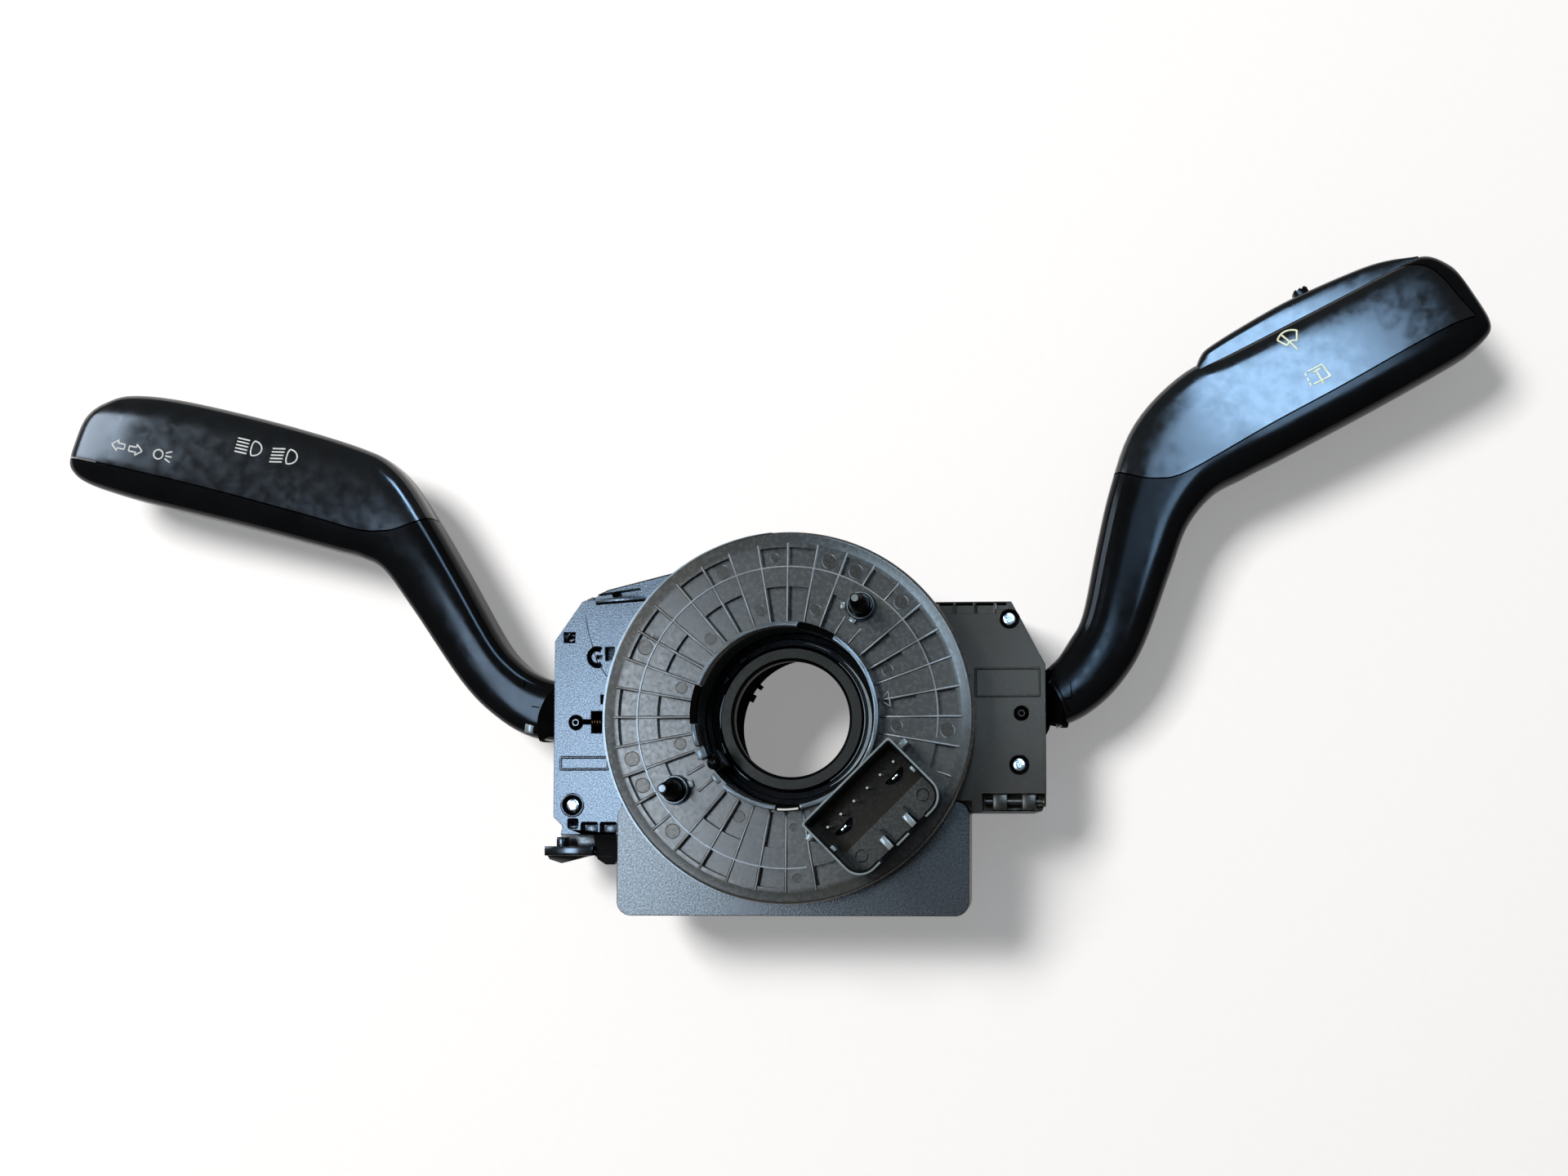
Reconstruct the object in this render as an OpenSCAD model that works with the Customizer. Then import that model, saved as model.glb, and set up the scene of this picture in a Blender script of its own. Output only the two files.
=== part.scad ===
// Steering column switch: rotor with cable coil in the middle, a turn and lamp lever
// on the left, a wiper lever on the right. The rear of the column collar is z = 0,
// +Z points along the column to the driver, +X to the driver's right, +Y upwards.

/* [Steering column] */
// Bore of the rear collar that grips the column tube
collar_bore_d = 46; // [44:0.5:48]
// Depth of the rear collar
collar_depth = 16; // [12:1:16]
// Width of the gap that the clamp bolt closes
clamp_gap = 3; // [2:0.5:4]

/* [Rotor] */
// Outside diameter of the rotor skirt
disc_d = 111.2; // [108:0.2:112]
// Height of the rotor face above the rear of the collar
disc_face = 46; // [45:0.5:48]
// Number of ribs that divide the rotor face
rib_count = 36; // [24:12:36]
// Depth of the pockets between the ribs
pocket_depth = 1.4; // [0.6:0.1:2]
// Height of the thin ribs that stand proud of the rotor face
rib_h = 0.35; // [0.2:0.05:0.6]
// Height of the two driver pins above the rotor face
driver_pin_h = 15; // [12:0.5:16]
// Distance of the driver pins from the column axis
driver_pin_r = 39.5; // [38:0.5:42]

/* [Wheel plug socket] */
// Outside length of the socket
socket_l = 35.4; // [33:0.2:37]
// Outside width of the socket
socket_w = 21; // [19:0.2:22]
// Height of the socket above the rotor face
socket_h = 14; // [12:0.5:15]
// Number of round contacts
contact_count = 6; // [4:1:8]

/* [Switch housings] */
// Height of the underside of both housings
housing_floor = 3; // [2:0.5:4]
// Height of the outer face of both covers
cover_top = 30; // [29:0.5:32]
// Thickness of both covers
cover_t = 2.4; // [2:0.1:3]
// Wall thickness of the housings
wall = 2; // [1.6:0.1:2.4]

/* [Levers] */
// Height of both lever pivots above the rear of the collar
pivot_z = 16.5; // [15:0.5:18]
// Direction of the left lever seen from the driver, in degrees
left_dir = 152.5; // [145:0.5:160]
// Direction of the right lever seen from the driver, in degrees
right_dir = 43; // [38:0.5:50]
// Radius of the guard ball of the left lever
left_ball_r = 16.4; // [15:0.1:17]
// Radius of the guard ball of the right lever
right_ball_r = 15; // [14:0.1:16]
// Thickness of the two handles
handle_t = 16; // [14:0.5:18]

/* [Hidden] */
$fn = 72;
eps = 0.01;
fit = 0.05;
plate_z = collar_depth;
plate_t = 2.4;
stator_z = plate_z + plate_t;
stator_top = 40;
hub_r = 28;
room_r = 50.4;
clear_r = 52.6;
board_y = -42.6;
cover_z = cover_top - cover_t;
left_pivot = [-69.1, -0.2];
right_pivot = [69.5, 2.2];
clear_top = cover_z - housing_floor;
shaft_r = 2.25;
cross_r = 1.5;
plunger_tip = 12.7;
black = "#202124";
grey = "#3a3c40";
steel = "#b9bcc0";
brass = "#b98c4a";

// Curve helpers: a smooth run through a few control stations
function spline(a, b, c, d, t) =
    0.5 * ((2 * b) + (c - a) * t + (2 * a - 5 * b + 4 * c - d) * t * t
    + (3 * b - a - 3 * c + d) * t * t * t);
function smooth(p, n) =
    let (m = len(p))
    [for (i = [0:m - 2], k = [0:n - 1])
        spline(p[max(i - 1, 0)], p[i], p[i + 1], p[min(i + 2, m - 1)], k / n), p[m - 1]];
function power(v, e) = sign(v) * pow(abs(v), e);

// One rounded cross-section: x, y, z, heading, half width, half thickness
function section(s, n, e) =
    [for (k = [0:n - 1])
        let (a = 360 * k / n, w = s[4] * power(cos(a), e), h = s[5] * power(sin(a), e))
        [s[0] - w * sin(s[3]), s[1] + w * cos(s[3]), s[2] + h]];

// Solid lofted through the sections
module loft(stations, n = 24, e = 0.6) {
    m = len(stations);
    points = [for (s = stations) each section(s, n, e)];
    sides = [for (i = [0:m - 2], k = [0:n - 1])
        let (j = (k + 1) % n) each [
            [i * n + k, (i + 1) * n + j, i * n + j],
            [i * n + k, (i + 1) * n + k, (i + 1) * n + j]]];
    start = [for (k = [1:n - 2]) [0, k, k + 1]];
    finish = [for (k = [1:n - 2]) [(m - 1) * n, (m - 1) * n + k + 1, (m - 1) * n + k]];
    polyhedron(points = points, faces = concat(sides, start, finish), convexity = 6);
}

module ring(r_out, r_in, h) {
    difference() {
        cylinder(r = r_out, h = h);
        translate([0, 0, -1]) cylinder(r = r_in, h = h + 2);
    }
}

module sector(r_out, r_in, h, from, to) {
    rotate([0, 0, from])
        rotate_extrude(angle = to - from) translate([r_in, 0]) square([r_out - r_in, h]);
}

module rounded_square(w, h, r) {
    translate([-w / 2 + r, -h / 2]) square([w - 2 * r, h]);
    translate([-w / 2, -h / 2 + r]) square([w, h - 2 * r]);
    for (x = [-1, 1], y = [-1, 1])
        translate([x * (w / 2 - r), y * (h / 2 - r)]) circle(r = r);
}

// Base carrier: collar, flat plate under the cable coil, skirt round the circuit board
module carrier_outline() {
    circle(r = 50.5);
    translate([0, -41]) rounded_square(100, 32, 4.5);
}

module base_carrier() {
    color(black) difference() {
        union() {
            translate([0, 0, plate_z]) linear_extrude(plate_t) carrier_outline();
            cylinder(r = collar_bore_d / 2 + 3.4, h = plate_z + eps);
            for (s = [-1, 1])
                translate([s * (clamp_gap / 2 + 2.5) - 2.5, 20, 2]) cube([5, 19, 12]);
            for (a = [30:60:330])
                rotate([0, 0, a]) translate([24, -1, 9]) cube([7.2, 2, plate_z - 9 + eps]);
            for (x = [-1, 1])
                translate([x * 38, board_y + 6, 14.6]) cylinder(r = 3, h = 2);
            translate([0, board_y, 4]) linear_extrude(plate_z - 4 + eps) difference() {
                rounded_square(92, 26.4, 4);
                rounded_square(88, 22.4, 2.5);
            }
            for (x = [-1, 1], y = [-1, 1])
                translate([x * 40, y * 23, plate_z - 3]) cylinder(r = 3.6, h = 3 + eps);
        }
        translate([0, 0, -1]) cylinder(r = collar_bore_d / 2, h = 40);
        translate([-clamp_gap / 2, 15, -1]) cube([clamp_gap, 30, plate_z + 1]);
        translate([-20, 33, 8]) rotate([0, 90, 0]) cylinder(r = 2.6, h = 40);
        for (x = [-1, 1], y = [-1, 1])
            translate([x * 40, y * 23, plate_z - 4]) cylinder(r = 1.5, h = 5.4);
    }
}

module column_clamp_bolt() {
    color(steel) translate([-11.5, 33, 8]) rotate([0, 90, 0]) {
        cylinder(r = 2.5, h = 24);
        difference() {
            cylinder(r = 4.4, h = 5);
            translate([0, 0, -1]) cylinder(r = 2.2, h = 3.4, $fn = 6);
        }
        translate([0, 0, 18]) cylinder(r = 4.6, h = 4, $fn = 6);
    }
}

// Fixed half of the cable coil with the square foot that shows below the rotor
module clock_spring_housing() {
    color(grey) difference() {
        union() {
            translate([0, 0, stator_z]) cylinder(r = 52.2, h = stator_top - stator_z);
            translate([0, -42.3, stator_z])
                linear_extrude(36 - stator_z) rounded_square(107.6, 34.6, 4.4);
        }
        translate([0, 0, stator_z + 2.2]) ring(room_r, hub_r + fit + 1.7, 40);
        translate([0, 0, stator_top]) cylinder(r = 60, h = 20);
        translate([0, 0, stator_z - 1]) cylinder(r = hub_r + fit, h = 60);
        for (s = [-1, 1])
            translate([s * 46.3, -51.5, stator_z - 1])
                linear_extrude(36 - stator_z - 1.4) rounded_square(11, 12, 2);
    }
    color(grey) translate([0, 0, stator_top - eps]) ring(hub_r + fit + 1.7, hub_r + fit, 2.6);
}

// Flat cable wound in half turns about two centres
module ribbon_coil() {
    pitch = 1.6;
    color("#c9a26b") translate([0, 0, stator_z + 2.2]) for (k = [0:9]) {
        r = 32 + k * pitch;
        sector(r + 0.3, r, 15, 0, 180);
        translate([-pitch / 2, 0, 0]) sector(r + pitch / 2 + 0.3, r + pitch / 2, 15, 180, 360);
    }
}

// Switch housings
module left_outline() {
    polygon([[-76.2, 25.4], [-67.7, 37.6], [-59.4, 41.4], [-34, 47.8], [-28.5, 40],
        [-28.5, -28.8], [-54.4, -28.8], [-54.4, -35], [-73.6, -35], [-73, -32.4],
        [-75.9, -29.5]]);
}

module left_cavity() {
    polygon([[-74.2, 24.8], [-66.4, 35.9], [-58.8, 39.4], [-35, 45.4], [-30.5, 39.3],
        [-30.5, -26.8], [-74, -26.8]]);
}

module right_outline() {
    polygon([[28.5, 36.8], [66.4, 36.8], [76.9, 17.2], [77.1, -24.8], [75.9, -27.6],
        [73.4, -28.4], [28.5, -28.4]]);
}

module right_cavity() {
    polygon([[30.5, 34.8], [65.2, 34.8], [74.9, 16.7], [75.1, -20.5], [30.5, -20.5]]);
}

// Everything that the round cable coil keeps clear above the carrier plate
module coil_clearance() {
    translate([0, 0, plate_z - 0.3]) cylinder(r = clear_r, h = 40);
    translate([-54.2, -60, plate_z - 0.3]) cube([108.4, 35.3, 40]);
}

module screw_boss(x, y, h) {
    translate([x, y, housing_floor]) cylinder(r = 3.4, h = h);
}

// Rear foot with the screw seat, and the post that meets the carrier
module foot() {
    cylinder(r = 5.8, h = housing_floor + 2.4);
    cylinder(r = 3.6, h = plate_z - 3);
}

module left_housing() {
    p = left_pivot;
    color(black) difference() {
        union() {
            difference() {
                translate([0, 0, housing_floor])
                    linear_extrude(cover_z - housing_floor) left_outline();
                difference() {
                    translate([0, 0, housing_floor + 2.4]) linear_extrude(60) left_cavity();
                    translate([0, 0, plate_z - 0.3]) cylinder(r = clear_r + wall, h = 60);
                }
            }
            translate([p[0], p[1], housing_floor]) cylinder(r = 4.6, h = 2.8);
            screw_boss(-69.9, -25.9, cover_z - housing_floor);
            for (y = [-1, 1]) translate([-40, y * 23, 0]) foot();
            translate([-64, 33.5, 0]) cylinder(r = 3.2, h = housing_floor + eps);
        }
        coil_clearance();
        translate([-82, -16.5, housing_floor + 2.4]) cube([9, 33, 60]);
        translate([p[0], p[1], housing_floor + 0.6]) cylinder(r = shaft_r + fit, h = 10);
        translate([-69.9, -25.9, 14]) cylinder(r = 1.5, h = 60);
        for (y = [-1, 1]) translate([-40, y * 23, 0]) {
            cylinder(r = 1.8, h = 40);
            translate([0, 0, -1]) cylinder(r = 4.2, h = 5.2);
        }
        for (x = [-64.5, -58.5]) translate([x, -33, 8]) linear_extrude(60)
            rounded_square(5.2, 3.6, 0.6);
        translate([-69.7, -31.6, 18]) linear_extrude(60) rounded_square(3.2, 3, 0.5);
    }
}

module right_housing() {
    p = right_pivot;
    color(black) difference() {
        union() {
            difference() {
                translate([0, 0, housing_floor])
                    linear_extrude(cover_z - housing_floor) right_outline();
                difference() {
                    translate([0, 0, housing_floor + 2.4]) linear_extrude(60) right_cavity();
                    translate([0, 0, plate_z - 0.3]) cylinder(r = clear_r + wall, h = 60);
                }
            }
            translate([p[0], p[1], housing_floor]) cylinder(r = 4.6, h = 2.8);
            screw_boss(65.8, 31.4, cover_z - housing_floor);
            screw_boss(68.8, -13.6, cover_z - housing_floor);
            for (y = [-1, 1]) translate([40, y * 23, 0]) foot();
            translate([62, 31, 0]) cylinder(r = 3.2, h = housing_floor + eps);
        }
        coil_clearance();
        translate([72.6, -14, housing_floor + 2.4]) cube([9, 37, 60]);
        translate([p[0], p[1], housing_floor + 0.6]) cylinder(r = shaft_r + fit, h = 10);
        translate([65.8, 31.4, 14]) cylinder(r = 1.5, h = 60);
        translate([68.8, -13.6, 14]) cylinder(r = 1.5, h = 60);
        for (y = [-1, 1]) translate([40, y * 23, 0]) {
            cylinder(r = 1.8, h = 40);
            translate([0, 0, -1]) cylinder(r = 4.2, h = 5.2);
            translate([0, 0, plate_z - 3]) cylinder(r = 4, h = 6);
        }
        translate([57.5, -27.9, 22]) cube([22, 5.4, 30]);
    }
}

// Hook shaped slot that lets a snap arm bend
module hook_slot(r) {
    sector(r + 0.7, r - 0.7, 20, 60, 300);
    translate([0, -0.5, 0]) cube([r * 0.6, 1, 20]);
}

module left_cover() {
    p = left_pivot;
    color(black) difference() {
        union() {
            translate([0, 0, cover_z]) linear_extrude(cover_t) left_outline();
            translate([-66.3, -12.9, cover_top - eps]) linear_extrude(0.3) difference() {
                rounded_square(15.4, 4.2, 0.6);
                rounded_square(14.4, 3.2, 0.3);
            }
            translate([-69.9, -25.9, cover_top - eps]) ring(3.6, 3.1, 0.3);
            translate([0, 0, cover_top - eps]) linear_extrude(0.4) polygon([[-66.8, 37.2],
                [-66.2, 31.6], [-65.2, 27.2], [-62.4, 18.2], [-57, 11], [-28.5, 9],
                [-28.5, 40], [-34.2, 47.4], [-59.3, 41.1]]);
        }
        coil_clearance();
        translate([p[0], p[1], cover_z - 1]) cylinder(r = shaft_r + fit, h = 10);
        translate([-69.9, -25.9, cover_z - 1]) cylinder(r = 1.5, h = 10);
        translate([-69.9, -25.9, cover_top - 1.3]) cylinder(r = 3.1, h = 5);
        translate([-71.5, 26.4, cover_z - 1]) linear_extrude(10) square([3.6, 3.2], true);
        translate([-62.6, 20.2, cover_z - 1]) hook_slot(2.6);
        translate([-58.6, 21.2, cover_z - 1]) linear_extrude(10) square([2.8, 4.2], true);
        translate([-60.6, 7, cover_z - 1]) linear_extrude(10) square([1.6, 2.8], true);
        translate([-62.6, -0.1, cover_z - 1]) linear_extrude(10) square([3.4, 6.8], true);
        translate([-67, -0.7, cover_z - 1]) cube([4, 1.4, 10]);
        translate([-69.7, -31.6, cover_z - 1]) linear_extrude(10)
            rounded_square(3.2, 3, 0.5);
        for (x = [-64.5, -58.5]) translate([x, -33, cover_z - 1]) linear_extrude(10)
            rounded_square(5.2, 3.6, 0.6);
        translate([-64, 38, cover_z + 1]) rotate([0, 0, 8]) cube([15, 1.6, 10]);
    }
}

module right_cover() {
    p = right_pivot;
    color(black) difference() {
        union() {
            translate([0, 0, cover_z]) linear_extrude(cover_t) right_outline();
            translate([65.2, 11.8, cover_top - eps]) linear_extrude(0.3) difference() {
                rounded_square(20, 9, 0.6);
                rounded_square(19, 8, 0.3);
            }
            for (s = [[65.8, 31.4], [68.8, -13.6]])
                translate([s[0], s[1], cover_top - eps]) ring(3, 2.6, 0.3);
        }
        coil_clearance();
        translate([p[0], p[1], cover_z - 1]) cylinder(r = shaft_r + fit, h = 10);
        for (s = [[65.8, 31.4], [68.8, -13.6]]) translate([s[0], s[1], cover_z - 1]) {
            cylinder(r = 1.5, h = 10);
            translate([0, 0, cover_t - 0.3]) cylinder(r = 2.6, h = 5);
        }
        for (c = [[45.8, 5.3], [51.9, 5.2], [58.3, 5.4]]) translate([c[0], 34.7, cover_top - 1])
            linear_extrude(3) rounded_square(c[1], 3.2, 0.3);
        translate([63.3, 35.3, cover_top - 1]) linear_extrude(3) rounded_square(3.2, 2, 0.3);
        translate([57.5, -27.9, cover_z - 1]) cube([22, 5.4, 30]);
    }
}

// Driver's side screws with a star recess
module cover_screws() {
    color(steel) for (s = [[-69.9, -25.9], [65.8, 31.4], [68.8, -13.6]])
        translate([s[0], s[1], 0]) difference() {
            union() {
                translate([0, 0, 15]) cylinder(r = 1.45, h = cover_top - 15.5);
                translate([0, 0, cover_top - 1.3]) cylinder(r = 2, h = 1.2);
            }
            translate([0, 0, cover_top - 0.9]) for (a = [0:60:120]) rotate([0, 0, a])
                translate([-1.15, -0.3, 0]) cube([2.3, 0.6, 3]);
        }
}

module rear_screws() {
    color(steel) for (x = [-1, 1], y = [-1, 1])
        translate([x * 40, y * 23, 0]) difference() {
            union() {
                translate([0, 0, 2.4]) cylinder(r = 3, h = 1.8);
                translate([0, 0, 4.2 - eps]) cylinder(r = 1.45, h = 12.6);
            }
            translate([0, 0, 1]) cylinder(r = 1.3, h = 2.4, $fn = 6);
        }
}

// Lever parts, drawn about a pivot at the origin with the lever along +X
module yoke() {
    color("#d8d6cf") difference() {
        union() {
            translate([0, 0, housing_floor + 0.9])
                cylinder(r = shaft_r, h = cover_top - 0.9 - housing_floor - 0.9);
            translate([-4.5, -4.5, pivot_z - 4]) cube([9, 9, 8]);
            translate([0, 0, 6.1]) cylinder(r = 4.2, h = 1.5);
            translate([-12.4, -1.8, 6.6]) cube([12.4, 3.6, 1]);
            translate([0, 0, cover_top - 0.9 - eps]) cylinder(r1 = 1.5, r2 = 1.1, h = 1.3);
        }
        translate([0, 10, pivot_z]) rotate([90, 0, 0]) cylinder(r = cross_r + fit, h = 20);
        translate([0, 0, cover_top - 0.3]) cylinder(r = 0.6, h = 2);
    }
}

module head_core() {
    difference() {
        union() {
            translate([0, 0, pivot_z - 7.2]) cylinder(r = 9.4, h = 14.4);
            translate([-11.3, 0, pivot_z]) rotate([0, 90, 0]) cylinder(r = 3.3, h = 5);
            children();
        }
        translate([-6.9, -4.9, 0]) cube([13.8, 9.8, 40]);
        translate([0, 12, pivot_z]) rotate([90, 0, 0]) cylinder(r = cross_r + 0.02, h = 24);
        translate([-12, 0, pivot_z]) rotate([0, 90, 0]) cylinder(r = 1.9, h = 4.8);
    }
}

// Guard that closes the housing mouth round the lever, a band of a ball
module guard(r, from, to) {
    intersection() {
        translate([0, 0, pivot_z]) sphere(r = r);
        translate([0, 0, pivot_z - 7.6]) sector(r + 2, 8, 15.2, from, to);
    }
}

module plunger() {
    translate([0, 0, pivot_z]) rotate([0, -90, 0]) {
        translate([0, 0, 8.9]) cylinder(r = 1.8, h = plunger_tip - 1.8 - 8.9);
        translate([0, 0, plunger_tip - 1.8]) sphere(r = 1.8);
    }
}

module detent_spring() {
    color(steel) translate([-8.85, 0, pivot_z]) rotate([0, 90, 0])
        for (k = [0:1]) translate([0, 0, 0.3 + k * 0.75])
            rotate_extrude() translate([1.3, 0]) circle(r = 0.28);
}

module cross_pin() {
    color(steel) translate([0, 7.9, pivot_z]) rotate([90, 0, 0])
        cylinder(r = cross_r, h = 15.8);
}

// Curved track that the plunger rides on, with a groove for each rest position
module detent_cam(step) {
    color("#e6e3da") difference() {
        rotate([0, 0, 180]) translate([0, 0, housing_floor + 2.4])
            sector(16.2, 13.1, pivot_z + 3 - housing_floor, -22, 22);
        for (a = step) rotate([0, 0, 180 + a]) translate([13.1, 0, housing_floor + 2])
            cylinder(r = 0.8, h = 40);
    }
}

module contact_board() {
    color("#2f6b3f") rotate([0, 0, 180]) translate([0, 0, housing_floor + 2.4])
        sector(12.8, 6, 0.8, -32, 32);
}

module at_left() {
    translate([left_pivot[0], left_pivot[1], 0]) rotate([0, 0, left_dir]) children();
}

module at_right() {
    translate([right_pivot[0], right_pivot[1], 0]) rotate([0, 0, right_dir]) children();
}

module left_yoke() { at_left() yoke(); }
module right_yoke() { at_right() yoke(); }
module left_cross_pin() { at_left() cross_pin(); }
module right_cross_pin() { at_right() cross_pin(); }
module left_detent_plunger() { color(brass) at_left() plunger(); }
module right_detent_plunger() { color(brass) at_right() plunger(); }
module left_detent_spring() { at_left() detent_spring(); }
module right_detent_spring() { at_right() detent_spring(); }

module left_lever_head() {
    color(black) at_left() head_core() guard(left_ball_r, -52, 46);
}

module right_lever_head() {
    color(black) at_right() head_core() guard(right_ball_r, -56, 30);
}

module left_detent_cam() {
    difference() {
        at_left() detent_cam([-8, 0, 8]);
        translate([0, 0, 14]) cylinder(r = clear_r + wall + 0.1, h = 40);
    }
}

module right_detent_cam() {
    difference() {
        at_right() detent_cam([-6, 0, 7, 14]);
        translate([0, 0, 14]) cylinder(r = clear_r + wall + 0.1, h = 40);
    }
}

module left_contact_board() { at_left() contact_board(); }
module right_contact_board() { at_right() contact_board(); }

module left_contact_spring() {
    color("#b5693a") translate([-62.6, -0.1, cover_z - 0.5]) {
        translate([-2.6, -4.3, 0]) cube([5.2, 8.6, 0.5]);
        for (y = [-2.2, 0, 2.2]) translate([-1.4, y, 1.1]) rotate([0, 90, 0])
            cylinder(r = 0.8, h = 2.8);
    }
}

// Left lever: stations x, y, z, heading, half width, half thickness
left_line = smooth([
    [-78, 4, 16.5, 174, 9.5, 7.4], [-86.1, 6, 16.5, 168, 9.9, 7.6],
    [-94.3, 10.9, 16.6, 156, 9.6, 7.8], [-103.5, 20.5, 16.8, 136, 9.3, 7.9],
    [-117.7, 43, 17.4, 124, 10.2, 8], [-128.1, 58.8, 18, 138, 11.7, 8],
    [-137.3, 68.6, 18.6, 160, 15.7, 8], [-148.1, 73.3, 19, 165, 17.2, 8],
    [-175, 81, 20, 165, 17.7, handle_t / 2], [-205.2, 88.3, 21, 165, 17.6, handle_t / 2],
    [-221.2, 91.4, 21.6, 166, 16.2, 7.8], [-229.3, 92, 22, 163, 13.8, 7],
    [-234, 92.1, 22.2, 162, 10.6, 5.4], [-236.2, 91.5, 22.3, 161, 7.2, 3.2],
    [-237.3, 91.2, 22.3, 161, 4.5, 1.6]], 3);

// Inner hollow that follows the outside at one wall thickness
function inset(stations, from, to, w, t) =
    [for (i = [from:to]) let (s = stations[i])
        [s[0], s[1], s[2], s[3], s[4] - w, s[5] - t]];

// Part line of the left handle cover
module left_cover_region() {
    edge = smooth([[-245, 88], [-226, 83.8], [-191, 75.4], [-156.5, 66], [-143.5, 62.2],
        [-135.8, 61.3], [-127.3, 62.8], [-112, 70]], 4);
    translate([0, 0, 17]) linear_extrude(30)
        polygon(concat(edge, [[-112, 120], [-245, 120]]));
}

module left_stalk() {
    color(black) difference() {
        loft(left_line);
        left_cover_region();
        loft(inset(left_line, 9, 33, 2.4, 2.2), 12, 0.7);
        translate([left_pivot[0], left_pivot[1], pivot_z]) sphere(r = left_ball_r + 0.05);
    }
}

module left_stalk_cover() {
    color(grey) difference() {
        intersection() {
            loft(left_line);
            translate([0, 0.1, 0.1]) left_cover_region();
        }
        loft(inset(left_line, 9, 33, 2.4, 2.2), 12, 0.7);
    }
}

// Right lever: the neck leaves the housing sideways and turns steeply upwards
right_line = smooth([
    [78.6, 7.6, 16.5, 12, 9.2, 7.4], [85.6, 12, 16.5, 24, 10.2, 7.6],
    [92.4, 19.1, 16.6, 48, 10.6, 7.8], [98.5, 29.6, 17, 66, 10.8, 7.9],
    [104.7, 51.3, 17.8, 72, 12.3, 8], [109.7, 68, 18.4, 66, 13.6, 8],
    [117.8, 83.3, 19, 50, 16.8, 8], [130.9, 94.1, 19.6, 32, 19.1, 8],
    [143.6, 99.8, 20.1, 27.5, 18.5, handle_t / 2],
    [171.8, 114.2, 20.9, 26.5, 18.2, handle_t / 2],
    [194.7, 126.3, 21.8, 28, 17.7, 7.8], [202.4, 130.2, 22.1, 28, 16.7, 7.2],
    [208, 131.4, 22.3, 30.5, 13.2, 5.4], [210.2, 131.5, 22.4, 32, 9.8, 3.4],
    [211.2, 131.1, 22.5, 33, 6.4, 1.6]], 3);

module right_cover_region(gap = 0) {
    edge = smooth([[94, 77.6], [99, 78], [103.5, 76.7], [107.5, 75.6], [112.1, 75.3],
        [117.2, 75.8], [124.7, 79.1], [146.7, 91.5], [169, 103.3], [191.3, 115.7],
        [202.3, 121.3], [209.6, 124.2]], 3);
    crease = smooth([[209.2, 125.2], [204.6, 130], [199.6, 136.1], [195.3, 139.8],
        [190.2, 141.2], [184.3, 140.5], [176.9, 137.2], [165, 131]], 3);
    translate([0, 0, 17 + gap]) linear_extrude(30)
        polygon(concat([for (p = edge) p + [-gap, gap]],
            [for (p = crease) p - [gap, 1.5 * gap]], [[160, 150], [94, 150]]));
}

// Strip cut from the upper edge of the right handle for the interval rail
module rail_strip(grow) {
    translate([160, 127.6, 20.6]) rotate([0, 0, 26.6]) translate([-38.8 - grow, -grow, -9])
        cube([77.4 + 2 * grow, 12, 18]);
}

module right_body() {
    difference() {
        loft(right_line);
        rail_strip(0.1);
    }
}

module right_stalk() {
    color(black) difference() {
        right_body();
        right_cover_region();
        loft(inset(right_line, 9, 33, 4.4, 2.2), 12, 0.7);
        translate([right_pivot[0], right_pivot[1], pivot_z])
            sphere(r = right_ball_r + 0.05);
    }
}

module right_stalk_cover() {
    color(grey) difference() {
        intersection() {
            right_body();
            right_cover_region(0.12);
        }
        loft(inset(right_line, 9, 33, 4.4, 2.2), 12, 0.7);
    }
}

// Raised rail along the handle edge and the knob that slides in its groove
module at_rail() {
    translate([160, 127.6, 20.6]) rotate([0, 0, 26.6]) children();
}

module interval_rail() {
    color(black) at_rail() difference() {
        intersection() {
            translate([0, 0, -5]) linear_extrude(10) polygon([[-38.8, 0], [-38.8, 1.9],
                [-33.3, 5.7], [-20, 7], [-6, 7.6], [8.2, 7], [20.6, 5.9], [30.7, 3.9],
                [38.2, 0.7], [38.6, 0]]);
            translate([-50, -0.6, 0]) rotate([0, 90, 0]) scale([0.72, 1, 1])
                cylinder(r = 9.2, h = 100);
        }
        translate([-8.2, 2.9, -2]) cube([19, 8, 4]);
    }
}

module interval_slider() {
    color(black) at_rail() union() {
        translate([-3, 3.2, -1.7]) cube([8.6, 3.4, 3.4]);
        translate([-1, 6.5, -1.7]) cube([4.6, 2.3, 3.4]);
        for (x = [-0.2, 1.3, 2.8]) translate([x, 8.7, -1.7]) cylinder(r = 0.5, h = 3.4);
    }
}

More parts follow.
